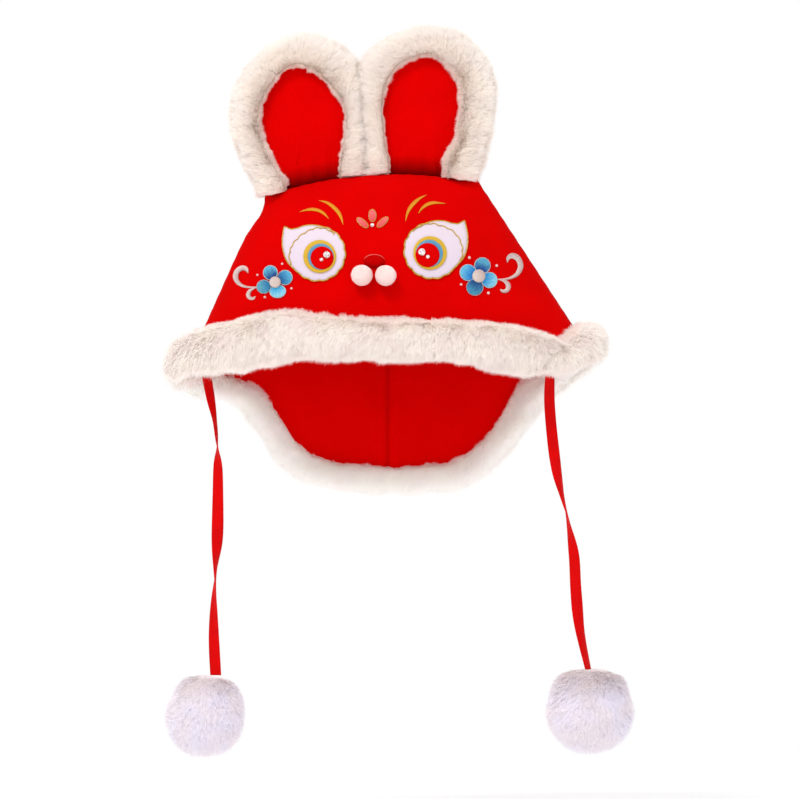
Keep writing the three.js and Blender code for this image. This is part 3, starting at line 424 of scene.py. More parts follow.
def rgb(r, g, b):
    """A colour as seen on screen, 0 to 255, as the linear values that shaders use."""
    return tuple(c / 12.92 if c <= 0.04045 else ((c + 0.055) / 1.055) ** 2.4
                 for c in (r / 255, g / 255, b / 255)) + (1.0,)


class Look:
    """A material with a Principled shader and a few helpers for its nodes."""

    def __init__(self, name, **sockets):
        self.material = bpy.data.materials.new(name)
        self.material.use_nodes = True
        self.tree = self.material.node_tree
        self.shader = self.tree.nodes["Principled BSDF"]
        self.out = self.tree.nodes["Material Output"]
        for socket, value in sockets.items():
            self.shader.inputs[socket.replace("_", " ")].default_value = value

    def node(self, kind, **values):
        made = self.tree.nodes.new("ShaderNode" + kind)
        for key, value in values.items():
            if key in made.inputs:
                made.inputs[key].default_value = value
            else:
                setattr(made, key, value)
        return made

    def link(self, source, target):
        self.tree.links.new(source, target)

    def put(self, source, target):
        """Gives a socket a number or a colour, or links another node's output to it."""
        if isinstance(source, bpy.types.NodeSocket):
            self.link(source, target)
        else:
            target.default_value = source

    def place(self, kind="Object"):
        found = [n for n in self.tree.nodes if n.bl_idname == "ShaderNodeTexCoord"]
        return (found[0] if found else self.node("TexCoord")).outputs[kind]

    def math(self, operation, *values):
        made = self.node("Math", operation=operation)
        for socket, value in zip(made.inputs, values):
            self.put(value, socket)
        return made.outputs["Value"]

    def axis(self, kind, name):
        """One axis of a place in object or UV space."""
        split = self.node("SeparateXYZ")
        self.link(self.place(kind), split.inputs[0])
        return split.outputs[name]

    def noise(self, size_mm, detail):
        """Fractal noise whose features are about that size."""
        made = self.node("TexNoise", Scale=1 / (size_mm * MM), Detail=detail)
        self.link(self.place(), made.inputs["Vector"])
        return made.outputs["Fac"]

    def near(self, value, low, high):
        """1 where the value is below low, falling to 0 at high."""
        made = self.node("MapRange")
        self.link(value, made.inputs["Value"])
        for socket, number in zip(("From Min", "From Max", "To Min", "To Max"), (low, high, 1, 0)):
            made.inputs[socket].default_value = number
        return made.outputs["Result"]

    def ramp(self, source, *stops):
        made = self.node("ValToRGB")
        elements = made.color_ramp.elements
        while len(elements) < len(stops):
            elements.new(0.5)
        for element, (position, colour) in zip(elements, stops):
            element.position = position
            element.color = colour
        self.link(source, made.inputs["Fac"])
        return made.outputs["Color"]

    def mix(self, share, a, b, how="MIX"):
        made = self.node("MixRGB", blend_type=how)
        for source, socket in ((share, "Fac"), (a, "Color1"), (b, "Color2")):
            self.put(source, made.inputs[socket])
        return made.outputs["Color"]

    def colour(self, source):
        self.link(source, self.shader.inputs["Base Color"])

    def bump(self, height, depth_mm, strength):
        made = self.node("Bump", Strength=strength, Distance=depth_mm * MM)
        self.link(height, made.inputs["Height"])
        existing = self.shader.inputs["Normal"].links
        if existing:
            self.link(existing[0].from_socket, made.inputs["Normal"])
        self.link(made.outputs["Normal"], self.shader.inputs["Normal"])

    def see_through(self, share, colour):
        """Lets some light through, as thin hair and ribbon do."""
        thin = self.node("BsdfTranslucent")
        self.put(colour, thin.inputs["Color"])
        mixed = self.node("MixShader", Fac=share)
        self.link(self.shader.outputs[0], mixed.inputs[1])
        self.link(thin.outputs[0], mixed.inputs[2])
        self.link(mixed.outputs[0], self.out.inputs["Surface"])


def cloth_look(name, light, dark, nap=0.9, fold=None, seam=None):
    """Smooth napped cloth. fold is a painted shade, a deeper colour towards 0 of the piece's v that
    stands for the shade at an ear's foot, and seam is the x and the colour of a painted shade along
    an upright seam's furrow."""
    look = Look(name, Roughness=0.95, Specular_IOR_Level=0.02, Sheen_Weight=0.04,
                Sheen_Roughness=0.5, Sheen_Tint=rgb(255, 30, 20))
    broad = look.ramp(look.noise(34, 2.0), (0.35, dark), (0.65, light))
    fine = look.ramp(look.noise(nap, 4.0), (0.3, rgb(243, 243, 243)), (0.7, rgb(255, 255, 255)))
    colour = look.mix(1.0, broad, fine, "MULTIPLY")
    # Painted shade: the colour deepens towards 0 of the piece's v, where an ear's foot tucks under
    # the crown's top edge.
    if fold:
        colour = look.mix(look.near(look.axis("UV", "Y"), 1.5, 13.0), colour, fold)
    # Painted shade along an upright seam's furrow, deepest at its x.
    if seam:
        off = look.math("ABSOLUTE", look.math("SUBTRACT", look.axis("Object", "X"), seam[0] * MM))
        colour = look.mix(look.near(off, 0.4 * MM, 2.2 * MM), colour, seam[1])
    look.colour(colour)
    look.bump(look.noise(nap, 4.0), 0.06, 0.5)
    look.bump(look.noise(6.0, 2.0), 0.2, 0.5)
    return look.material


def fur_look(name, cream, pink, through, top=None):
    """Soft fur. top is a painted shade over the upper side: the heights where it starts to deepen
    and is deepest, and that colour.
    """
    look = Look(name, Roughness=0.8, Specular_IOR_Level=0.12)
    colour = look.ramp(look.noise(14, 3.0), (0.38, cream), (0.62, pink))
    # Painted shade: the colour deepens towards the top.
    if top:
        below = look.near(look.axis("Object", "Z"), top[0] * MM, top[1] * MM)
        colour = look.mix(1.0, colour, look.mix(below, top[2], rgb(255, 255, 255)), "MULTIPLY")
    look.colour(colour)
    look.see_through(through, colour)
    return look.material


def thread_look(name, root, tip, pitch=0.45, mottle=0.25, groove_shade_grey=200):
    """Satin stitch: threads lie side by side, u is measured across them in millimetres and v runs
    from 0 at their inner end to 1 at their outer end."""
    look = Look(name, Roughness=0.45, Specular_IOR_Level=0.2, Sheen_Weight=0.1)
    bands = look.node("TexWave", Scale=1 / (pitch * 3.18), Distortion=0.6, Detail=1.0)
    bands.inputs["Detail Scale"].default_value = 0.6
    look.link(look.place("UV"), bands.inputs["Vector"])
    spots = look.node("Mapping", Scale=(1.1, 2.6, 1.0))
    look.link(look.place("UV"), spots.inputs["Vector"])
    uneven = look.node("TexNoise", Scale=1.0, Detail=3.0)
    look.link(spots.outputs["Vector"], uneven.inputs["Vector"])
    shift = look.math("MULTIPLY_ADD", uneven.outputs["Fac"], 2 * mottle, -mottle)
    shade = look.ramp(look.math("ADD", look.axis("UV", "Y"), shift), (0.12, root), (0.88, tip))
    # Painted shade between the threads: the bands' low parts are darkened.
    groove_shade = look.ramp(bands.outputs["Fac"], (0.0, rgb(groove_shade_grey, groove_shade_grey, groove_shade_grey)),
                        (0.7, rgb(255, 255, 255)))
    look.colour(look.mix(1.0, shade, groove_shade, "MULTIPLY"))
    look.bump(bands.outputs["Fac"], 0.12, 0.6)
    return look.material


CLOTH_RED = cloth_look("red_cloth", rgb(204, 0, 0), rgb(197, 0, 0))
# The ear cloth's fold colour is a painted shade at its foot.
EAR_RED = cloth_look("red_ear_cloth", rgb(206, 0, 0), rgb(200, 0, 0), fold=rgb(118, 0, 0))
# The lining reds are lighter than the outer cloth: painted light that offsets the shade inside the
# hat.
LINING_RED = cloth_look("red_lining", rgb(220, 0, 0), rgb(214, 0, 0), 0.7)
# The flap lining's seam colour is a painted shade in the furrow that centre_seam pulls in.
FLAP_LINING = cloth_look("red_flap_lining", rgb(220, 0, 0), rgb(214, 0, 0), 0.7,
                         seam=(LINING_SEAM, rgb(196, 0, 0)))
FUR = fur_look("white_fur", rgb(253, 250, 247), rgb(252, 248, 246), 0.55)
FLAP_FUR = fur_look("flap_fur", rgb(254, 253, 251), rgb(254, 252, 251), 0.55)
EAR_FUR = fur_look("ear_fur", rgb(252, 248, 244), rgb(251, 247, 244), 0.55)
FUR_ROOT = fur_look("white_fur_root", rgb(254, 248, 245), rgb(254, 247, 247), 0.1)
# Painted shade over the pompoms' upper sides.
POMPOM_TOP_SHADE = (-336, -317, rgb(244, 240, 238))
POMPOM = fur_look("pompom_fur", rgb(252, 249, 251), rgb(251, 249, 253), 0.5, POMPOM_TOP_SHADE)
POMPOM_ROOT = fur_look("pompom_fur_root", rgb(255, 252, 254), rgb(254, 251, 255), 0.1, POMPOM_TOP_SHADE)
FELT = fur_look("fur_felt", rgb(246, 232, 222), rgb(240, 222, 212), 0.1)
MUZZLE_FUR = fur_look("muzzle_fur", rgb(255, 249, 248), rgb(255, 247, 245), 0.5)


def metal_thread_look(name, dark, light):
    look = Look(name, Roughness=0.36, Specular_IOR_Level=0.5)
    look.colour(look.ramp(look.noise(0.7, 2.0), (0.35, dark), (0.68, light)))
    look.bump(look.noise(0.5, 2.0), 0.12, 0.7)
    return look.material


def bead_look(name, dark, light):
    look = Look(name, Roughness=0.18, Specular_IOR_Level=0.5, Coat_Weight=0.3)
    look.colour(look.ramp(look.noise(1.0, 2.0), (0.38, dark), (0.58, light)))
    return look.material


def ribbon_look():
    look = Look("red_ribbon", Roughness=0.6, Specular_IOR_Level=0.05, Sheen_Weight=0.04,
                Sheen_Tint=rgb(255, 60, 50))
    ribs = look.node("TexWave", Scale=1.0, Distortion=0.3, bands_direction="Y")
    look.link(look.place("UV"), ribs.inputs["Vector"])
    shade = look.ramp(look.noise(9, 2.0), (0.3, rgb(198, 1, 2)), (0.7, rgb(212, 1, 2)))
    # Painted shade between the ribs: the ribs' low parts are darkened.
    groove_shade = look.ramp(ribs.outputs["Fac"], (0.0, rgb(200, 200, 200)), (0.6, rgb(255, 255, 255)))
    look.colour(look.mix(0.35, shade, groove_shade, "MULTIPLY"))
    look.bump(ribs.outputs["Fac"], 0.06, 0.5)
    return look.material


GOLD_LINE = metal_thread_look("gold_line", rgb(132, 98, 10), rgb(214, 172, 46))
SILVER_LINE = metal_thread_look("silver_line", rgb(150, 142, 146), rgb(206, 196, 192))
NOSE_LINE = metal_thread_look("nose_line", rgb(216, 90, 80), rgb(226, 130, 118))
PEARL = bead_look("pearl_bead", rgb(206, 160, 158), rgb(226, 190, 188))
# The sparkle beads are white; their grey and white spots are painted sparkle, standing for light
# glancing off facets.
SPARKLE = bead_look("sparkle_bead", rgb(150, 140, 142), rgb(250, 244, 244))
RIBBON = ribbon_look()
WHITE_SATIN = thread_look("white_thread", rgb(214, 198, 214), rgb(220, 204, 216), 0.5, mottle=0.4,
                          groove_shade_grey=234)
GOLD_SATIN = thread_look("gold_satin", rgb(214, 132, 0), rgb(228, 160, 6))
RING_GOLD = thread_look("ring_gold", rgb(206, 146, 12), rgb(218, 178, 48))
BLUE_SATIN = thread_look("ring_blue", rgb(66, 130, 172), rgb(100, 158, 190))
PINK_SATIN = thread_look("pink_thread", rgb(228, 76, 78), rgb(236, 110, 108), 0.4, mottle=0.5)
SILVER_SATIN = thread_look("silver_thread", rgb(196, 164, 160), rgb(222, 200, 196), 0.42,
                           mottle=0.6)
BUTTON_SATIN = thread_look("button_thread", rgb(218, 202, 194), rgb(200, 176, 168), 0.5)
VELVET = cloth_look("red_velvet", rgb(204, 2, 2), rgb(196, 1, 1), 0.5)
NOSE_VELVET = cloth_look("nose_velvet", rgb(180, 1, 1), rgb(168, 0, 0), 0.5)


# Camera, ties and pompoms

def set_camera():
    data = bpy.data.cameras.new("camera")
    data.sensor_width = VIEW["sensor"]
    data.lens = VIEW["sensor"] * VIEW["away"] / VIEW["width"]
    data.clip_end = 40
    camera = add_object("camera", data)
    camera.location = Vector((VIEW["x"], -VIEW["away"], VIEW["z"])) * MM
    camera.rotation_euler = (math.radians(90), 0, 0)
    bpy.context.scene.camera = camera


def make_tie(side, table):
    """A flat ribbon, a little cupped across its width, along its twisted middle line."""
    shares = np.linspace(0, 1, TIE["steps"] + 1)
    x, z, turn = curve_through(table, TIE["steps"] + 1).T
    path = np.stack([x, np.full_like(x, TIE["y"]), z], -1)
    angle = np.radians(turn)
    across = np.stack([np.cos(angle), np.sin(angle), np.zeros_like(angle)], -1)
    through = np.stack([-across[:, 1], across[:, 0], np.zeros_like(angle)], -1)
    spots = [(a, face) for face in (-1, 1) for a in (np.linspace(-1, 1, 7) * face)]
    width = TIE["width"] * (1 + 0.05 * np.sin(shares * 23))
    rings = []
    for a, face in spots:
        cup = TIE["cup"] * (1 - a * a) * np.sin(shares * 9 + 0.6)
        edge = 0.5 * TIE["thickness"] * face * (1 - 0.5 * a**4)
        rings.append(path + across * (a * width / 2)[:, None] + through * (cup + edge)[:, None])
    grid = np.stack(rings, 1)
    rows, columns = grid.shape[:2]
    along = np.repeat(shares * length_of(path) * 1000, columns)
    uv = np.stack([np.tile([a for a, _ in spots], rows) * 3.8, along], -1)
    caps = [np.arange(columns)[None, ::-1], (np.arange(columns) + (rows - 1) * columns)[None]]
    faces = [grid_faces(rows, columns, wrap_columns=True), *caps]
    obj = make_piece(f"ribbon_{side}", grid.reshape(-1, 3) / MM, faces, RIBBON,
                     [f"tie_{side}"], uv)
    return obj, path


def grow(name, grid, out, flow, reach, count, seed, looks, replaces, closed=True,
         clump=3.2, width=0.62, gather=0.28, droop=0.08, ruffle=0.2):
    """A coat of hair on a backing. grid is the backing's points, out its outward direction, flow
    the way the hair lies and reach its length at each of them. Hairs lean together into locks."""
    rng = np.random.default_rng(seed)
    rows, columns = grid.shape[:2]
    wrap = (lambda a: np.concatenate([a, a[:1]])) if closed else (lambda a: a)
    g, o, f = wrap(grid), wrap(out), wrap(unit(flow))
    r = wrap(np.broadcast_to(reach, grid.shape[:2]))
    cross = np.cross(g[1:, 1:] - g[:-1, :-1], g[1:, :-1] - g[:-1, 1:])
    area = np.linalg.norm(cross, axis=-1).ravel() / 2
    cells = rng.choice(len(area), size=count, p=area / area.sum())
    i, j = np.divmod(cells, g.shape[1] - 1)
    s, t = rng.random((2, count, 1))

    def at(field):
        field = field if field.ndim == 3 else field[..., None]
        return ((field[i, j] * (1 - s) + field[i + 1, j] * s) * (1 - t)
                + (field[i, j + 1] * (1 - s) + field[i + 1, j + 1] * s) * t)

    root, away, lean, length = at(g), unit(at(o)), unit(at(f)), at(r)
    locks = max(int(area.sum() / clump**2), 8)
    chosen = rng.choice(count, size=min(locks, count), replace=False)
    tree = kdtree.KDTree(len(chosen))
    for k, place in enumerate(root[chosen]):
        tree.insert(place, k)
    tree.balance()
    jitter = root + rng.normal(0, HAIR["stray"] * clump, root.shape)
    near = np.array([tree.find(place)[1] for place in jitter])
    lock_lean = unit(lean[chosen] + rng.normal(0, ruffle, (len(chosen), 3)))
    lock_size = np.clip(rng.normal(1.0, HAIR["lock_sizes"], (len(chosen), 1)), 0.7, 1.3)
    lock_tip = root[chosen] + lock_lean * length[chosen] * lock_size
    own = length * np.clip(rng.normal(1.0, HAIR["sizes"], (count, 1)), 0.55, 1.3)
    turn = rng.normal(0, HAIR["own"], root.shape)
    own_tip = root + unit(lean + HAIR["follow"] * lock_lean[near] + turn) * own
    pull = gather * rng.uniform(0.35, 1.0, (count, 1))
    shared_tip = lock_tip[near] + (root - root[chosen][near]) * HAIR["apart"]
    tip = own_tip * (1 - pull) + shared_tip * pull
    tip[:, 2] -= droop * length[:, 0] * rng.uniform(0.5, 1.5, count)
    side = unit(np.cross(tip - root, away + rng.normal(0, HAIR["twist"], root.shape)))
    half = 0.5 * width * rng.uniform(0.7, 1.2, (count, 1))
    hair = np.stack([root - side * half, root + side * half, tip], 1).reshape(-1, 3)
    triangles = rows * columns + np.arange(3 * count).reshape(-1, 3)
    backing = grid_faces(rows, columns, wrap_rows=closed)
    points = np.concatenate([grid.reshape(-1, 3), hair])
    return make_piece(name, points, [backing, triangles], looks, replaces, kinds=[1, 0])


def coat(outline, middle, spec, seed):
    """The hair of a fur strip, from one lip over its outer edge to the other lip: its backing, its
    outward direction, the way it lies and its length."""
    t = np.linspace(0, 1, outline.shape[1])
    belly, from_lip = np.sin(math.pi * t), np.minimum(t, 1 - t)
    way = unit(outline - middle[:, None])
    backing = outline - way * (spec["deep"] + COAT["belly"] * belly**2)[None, :, None]
    swell = COAT["swells"] * waves(outline, spec["swell"], seed + 3)
    backing = backing + way * swell[..., None] * belly[None, :, None]
    comb = np.interp(from_lip, COMB_SHARES, spec["comb"]) * np.sign(0.5 - t)
    near_lip = np.exp(-(from_lip / COAT["tuft_share"]) ** 2)[None, :, None]
    tufts = COAT["tufts"] * np.random.default_rng(seed + 9).normal(size=way.shape) * near_lip
    flow = (way + unit(np.gradient(outline, axis=1)) * comb[None, :, None]
            + COAT["swirls"] * swirl(outline, spec["swirl"], seed + 4) + tufts)
    amount, size, fade = spec["ragged"]
    ragged = amount * waves(outline, size, seed + 8) * np.exp(-from_lip / fade)[None]
    uneven = 1 + spec["uneven"] * waves(outline, COAT["patch"], seed + 7) + ragged
    return backing, way, flow, np.interp(from_lip, REACH_SHARES, spec["reach"])[None] * uneven


def ball_grid(centre, radii, axis, around, rings, lumps=0.0, seed=1):
    """Points and directions of a round body whose poles lie along an axis."""
    polar = np.linspace(0.02, math.pi - 0.02, rings)
    angle = np.linspace(0, 2 * math.pi, around, endpoint=False)
    a, p = np.meshgrid(angle, polar, indexing="ij")
    local = np.stack([np.sin(p) * np.cos(a), np.sin(p) * np.sin(a), np.cos(p)], -1)
    turn = np.array(Vector((0, 0, 1)).rotation_difference(Vector(axis)).to_matrix())
    way = local @ turn.T
    swell = 1 + lumps * waves(way * 10, 8, seed)
    return np.asarray(centre) + way * np.asarray(radii) * swell[..., None], way


def make_tie_pompom(side, table, seed):
    spec, coat_spec = POMPOMS[side], POMPOM_COAT
    end = np.array([table[-1][0], TIE["y"], table[-1][1]]) / MM
    axis = unit(end - np.array(spec["centre"]))
    radii = np.array(spec["radii"])
    grid, way = ball_grid(spec["centre"], coat_spec["core"] * radii, axis, 72, 40, 0.03, seed)
    upward = way @ axis
    neck = 1 + coat_spec["neck"] * blend(upward, 0.3, 1)
    swell = neck * (1 - coat_spec["dip"] * np.exp((upward - 1) / 0.03))
    grid = spec["centre"] + (grid - spec["centre"]) * swell[..., None]
    flow = way + 0.13 * swirl(grid, 24, seed + 1) - coat_spec["hang"]
    return grow(f"pompom_{side}", grid, way, flow, coat_spec["hair"] * radii.mean(),
                HAIRS["pompom"], seed, [POMPOM, POMPOM_ROOT],
                [f"tie_pompom_{side}"], droop=0.05, ruffle=0.16)


set_camera()
for tie_side, tie_table, tie_seed in (("left", TIE_LEFT, 11), ("right", TIE_RIGHT, 12)):
    tie_pompom = make_tie_pompom(tie_side, tie_table, tie_seed)
    ribbon, route = make_tie(tie_side, tie_table)


# Crown surface: the same named sizes as the CAD model

def side_x(u, share):
    """Where a place across a panel lies, at a share of the way from the top to the front hem."""
    top = np.interp(u, (-1, 1), (CROWN["top_left"][0], CROWN["top_right"][0]))
    hem = np.interp(u, (-1, 1), (CROWN["hem_left"], CROWN["hem_right"]))
    return top + (hem - top) * share


def top_z(u):
    ends = np.interp(u, (-1, 1), (CROWN["top_left"][1], CROWN["top_right"][1]))
    return ends + CROWN["top_arch"] * (1 - u**2)


def lens(u):
    return np.maximum(0, 1 - u**2) ** CROWN["roundness"]


def drop_of(side, u):
    """Height of a panel at a place across it, from its top edge to its lower edge."""
    return top_z(u) - read(FRONT_HEM if side == FRONT else BACK_HEM, u)


def panel(side, u, drop):
    """The inner face of the outer cloth. The two panels meet at the seams."""
    u, drop = np.broadcast_arrays(np.asarray(u, float), np.asarray(drop, float))
    whole = drop_of(FRONT, u)
    share = np.minimum(drop / whole, 1)
    lean = CROWN["flap_lean"] * np.maximum(0, drop - whole) / CROWN["flap_drop"]
    bulge = lens(u) * (CROWN["depth"] * np.sqrt(1 - (1 - share) ** 2) - lean)
    dip = (CROWN["dip"] * (1 - u**4) * np.maximum(0, 1 - drop / CROWN["dip_drop"])
           * np.maximum(0, 1 - bulge / CROWN["dip_width"]) ** 2)
    x = side_x(u, share) + read(LEFT_SEAM, drop) * blend(-u, 0.75, 1)
    apart = GAP / 2 * np.minimum(bulge, 1)
    return np.stack([x, side * (apart + bulge), top_z(u) - drop - dip], -1)


def panel_normal(side, u, drop):
    u, drop = np.broadcast_arrays(np.asarray(u, float), np.asarray(drop, float))
    left, right = np.maximum(u - 0.004, -1), np.minimum(u + 0.004, 1)
    along = panel(side, right, drop) - panel(side, left, drop)
    down = panel(side, u, drop + 1) - panel(side, u, np.maximum(drop - 1, 0))
    normal = unit(np.cross(down, along) if side == FRONT else np.cross(along, down))
    on_top, on_side = 1 - blend(drop, 0, 3), blend(np.abs(u), 0.97, 1)
    seam = unit(np.stack([np.sign(u) * on_side, 0 * u, on_top + 0.45 * on_side + 1e-6], -1))
    share = np.maximum(on_top, on_side)[..., None]
    return unit(normal * (1 - share) + seam * share)


def relief(side, u, drop):
    """Soft swells of the padded cloth, and small puckers along its seams."""
    p = panel(side, u, drop)
    flat = p[..., [0, 2]]
    swells = 0.7 * waves(flat, 70, 21 + side) + 0.3 * waves(flat, 26, 31 + side)
    from_side = (1 - np.abs(u)) * 120
    folds = np.sin(drop * 2 * math.pi / 9 + 2 * np.sin(drop / 17))
    pucker = RELIEF["sides"] * np.exp(-from_side / 5) * folds
    top = (RELIEF["top"] * np.exp(-np.asarray(drop, float) / 5)
           * np.sin(p[..., 0] * 2 * math.pi / 8.5))
    inwards = np.minimum(blend(drop, 0, 8), blend(from_side, 0, 9))
    return RELIEF["swells"] * swells * inwards + pucker + top


def on_panel(side, u, drop, lift):
    lift = np.asarray(lift + relief(side, u, drop))
    return panel(side, u, drop) + panel_normal(side, u, drop) * lift[..., None]


def place_on_front(x, z):
    """Finds the place on the front panel that shows at x and z."""
    u = np.zeros_like(np.asarray(x, float))
    drop = u
    for _ in range(14):
        drop = np.maximum(top_z(u) - z, 0)
        share = np.minimum(drop / drop_of(FRONT, u), 1)
        left, right = side_x(-1, share), side_x(1, share)
        u = np.clip(2 * (x - left) / (right - left) - 1, -1, 1)
    return u, drop


def seen_on_front(x, z, lift):
    """The place on the front panel whose lifted point shows at x and z, and that point."""
    x, z = np.asarray(x, float), np.asarray(z, float)
    aim_x, aim_z = x, z
    for _ in range(3):
        u, drop = place_on_front(aim_x, aim_z)
        point = on_panel(FRONT, u, drop, CLOTH + lift)
        aim_x, aim_z = aim_x + x - point[..., 0], aim_z + z - point[..., 2]
    return u, drop, point


def on_front(x, z, lift):
    return seen_on_front(x, z, lift)[2]


def front_normal(x, z):
    return panel_normal(FRONT, *seen_on_front(x, z, 0.0)[:2])


def crown_top(x, y):
    """Height of the crown's outer face over a point, seen from above."""
    x, y = np.broadcast_arrays(np.asarray(x, float), np.asarray(y, float))
    low, high = CROWN["top_left"][0], CROWN["top_right"][0]
    u = np.clip(2 * (x - low) / (high - low) - 1, -0.98, 0.98)
    reach = CROWN["depth"] * lens(u)

    def inner_top(distance):
        share = np.minimum(distance / reach, 1)
        drop = drop_of(FRONT, u) * (1 - np.sqrt(1 - share**2))
        dip = CROWN["dip"] * (1 - u**4) * np.maximum(0, 1 - distance / CROWN["dip_width"]) ** 2
        return np.where(distance < reach, top_z(u) - drop - dip, -1e3)

    top = np.maximum(inner_top(np.abs(y)), inner_top(np.maximum(np.abs(y) - CLOTH, 0)))
    inside = (x > low - 2 * CLOTH) & (x < high + 2 * CLOTH)
    return np.where(inside, top + 1.25 * CLOTH, -1e3)


def columns_across(count):
    s = np.linspace(-1, 1, count + 1)
    return 0.5 * s + 0.5 * np.sin(math.pi / 2 * s)


def make_panel(name, side, lifts, material, node, extra=None, columns=104, rows=60):
    """A cloth panel with thickness between two lifts off the crown's surface."""
    turns = np.linspace(0, math.pi / 2, rows + 1)
    u, a = np.meshgrid(columns_across(columns), turns, indexing="ij")
    drop = drop_of(side, u) * (1 - np.cos(a))
    outer, inner = (on_panel(side, u, drop, lift) for lift in lifts)
    if extra is not None:
        inner = inner + extra(inner)
    n, m = u.shape
    points = np.concatenate([outer.reshape(-1, 3), inner.reshape(-1, 3)])
    face = grid_faces(n, m)
    index = np.arange(n * m).reshape(n, m)
    rim = np.concatenate([index[:, 0], index[-1, 1:], index[-2::-1, -1], index[0, -2:0:-1]])
    wall = np.stack([rim, np.roll(rim, -1), np.roll(rim, -1) + n * m, rim + n * m], -1)
    obj = make_piece(name, points, [face, face[:, ::-1] + n * m, wall], material, [node])


def centre_seam(points):
    """The flap's lining is stitched along its middle, which pulls a soft furrow into it."""
    x = points[..., 0] - LINING_SEAM
    depth = 0.9 * np.exp(-(x / 1.4) ** 2) - 1.6 * np.exp(-((np.abs(x) - 4.2) / 3) ** 2)
    return np.stack([0 * x, depth, 0 * x], -1)


make_panel("cloth_front", FRONT, (CLOTH, 0), CLOTH_RED, "crown_front")
make_panel("cloth_back", BACK, (CLOTH, 0), CLOTH_RED, "crown_back")
make_panel("lining_skin_front", FRONT, (-GAP, -GAP - LINING), LINING_RED,
           "lining_front", columns=90, rows=50)
make_panel("lining_skin_back", BACK, (-GAP, -GAP - LINING), FLAP_LINING,
           "lining_back", centre_seam)


# Fur round the rim

def rim_sections():
    """Sections of the fur strip round the whole rim: the side and the place across it where each
    one is, its outline and its middle."""
    places = columns_across(240)
    sides = np.concatenate([np.full(len(places), FRONT), np.full(len(places) - 2, BACK)])
    u = np.concatenate([places, places[-2:0:-1]])

    def both(find):
        return np.where((sides == FRONT).reshape(-1, *[1] * (find(FRONT).ndim - 1)),
                        find(FRONT), find(BACK))

    drop = both(lambda s: drop_of(s, u))
    hem = both(lambda s: panel(s, u, drop))
    normal = both(lambda s: panel_normal(s, u, drop))
    tangent = np.roll(hem, -1, 0) - np.roll(hem, 1, 0)
    up = unit(np.cross(normal, tangent))
    up = up * np.where(up[:, 2] < 0, -1, 1)[:, None]
    share = (1 - blend(np.abs(u), 0.72, 1))[:, None]
    corner = np.array(FUR_SIZES["corner"])
    far = np.where((sides == FRONT)[:, None], FUR_SIZES["front"], FUR_SIZES["back"])
    out, out_height, below, inside, in_height, room = (corner + (far - corner) * share).T
    front = sides == FRONT
    out_height = out_height + np.where(front, read(FUR_TOP, u), read(BACK_TOP, u))
    below = below + np.where(front, read(FUR_LOW, u), read(BACK_LOW, u))
    in_height = in_height + np.where(front, 0, read(BACK_INSIDE, u))
    before, after = np.maximum(u - 0.03, -1), np.minimum(u + 0.03, 1)
    run = both(lambda s: panel(s, after, drop_of(s, after)) - panel(s, before, drop_of(s, before)))
    stretch = np.linalg.norm(run, axis=1) / np.hypot(run[:, 0], run[:, 1])
    grip = out_height * np.minimum(stretch, 1.9)
    edges = {"out": CLOTH + room, "in": -(GAP + LINING + room)}

    def on_cloth(lift, height):
        low = hem + normal * lift[:, None]
        high = both(lambda s: panel(s, u, drop - grip)
                    + panel_normal(s, u, drop - grip) * lift[:, None])
        return low + (high - low) * np.asarray(height).reshape(-1, 1)

    arc = [on_cloth(edges["out"], np.ones_like(u))]
    for face, thick, high in FUR_SECTION:
        outside = face == "out"
        height = high * (below if high < 0 else out_height if outside else in_height)
        lift = edges["out"] + thick * out if outside else edges["in"] - thick * inside
        arc.append(hem + up * height[:, None] + normal * lift[:, None])
    arc.append(on_cloth(edges["in"], in_height / out_height))
    middle = hem + up * (0.3 * out_height)[:, None] + normal * (0.5 * CLOTH)
    return sides, u, np.stack(arc), middle


def make_rim_fur():
    sides, u, arc, middle = rim_sections()
    outline = curve_through(arc, RIM_COAT["across"]).transpose(1, 0, 2)
    flap = np.where(sides == BACK, 1 - blend(np.abs(u), 0.7, 0.9), 0)
    outline[..., 0] -= FLAP_SHIFT * flap[:, None]
    middle[:, 0] -= FLAP_SHIFT * flap
    backing, way, flow, reach = coat(outline, middle, RIM_COAT, 38)
    x = outline[..., 0]
    join = (sides == BACK)[:, None] * np.exp(-np.abs(x - JOIN["x"]) / JOIN["width"])
    lean = -0.3 - 0.25 * flap[:, None] + 0.9 * join * np.sign(x - JOIN["x"])
    flow = flow + np.stack([lean, 0 * x, -0.1 + 0 * x], -1)
    reach = reach * (1 - 0.25 * join**2) * (1 + 0.25 * blend(np.abs(u), 0.8, 1))[:, None]
    last = np.flatnonzero(sides == FRONT)[-1]
    for name, rows, seed, size, look in (
            ("front", np.arange(last + 1), 51, 1.0, FUR),
            ("back", np.arange(last, len(u) + 1) % len(u), 52, 0.84, FLAP_FUR)):
        grow(f"rim_fur_{name}", backing[rows], way[rows], flow[rows], size * reach[rows],
             HAIRS[f"rim_{name}"], seed, [look, FUR_ROOT], ["fur_band"], closed=False)


make_rim_fur()


# Ears

def ear_stations(table, count):
    """Places round an ear: on the outer edge of its fur and on the edge of its cloth."""
    tip_x, tip_z, lip_x, lip_z = curve_through(table, count).T
    return np.stack([tip_x, 0 * tip_x, tip_z], -1), np.stack([lip_x, 0 * lip_x, lip_z], -1)


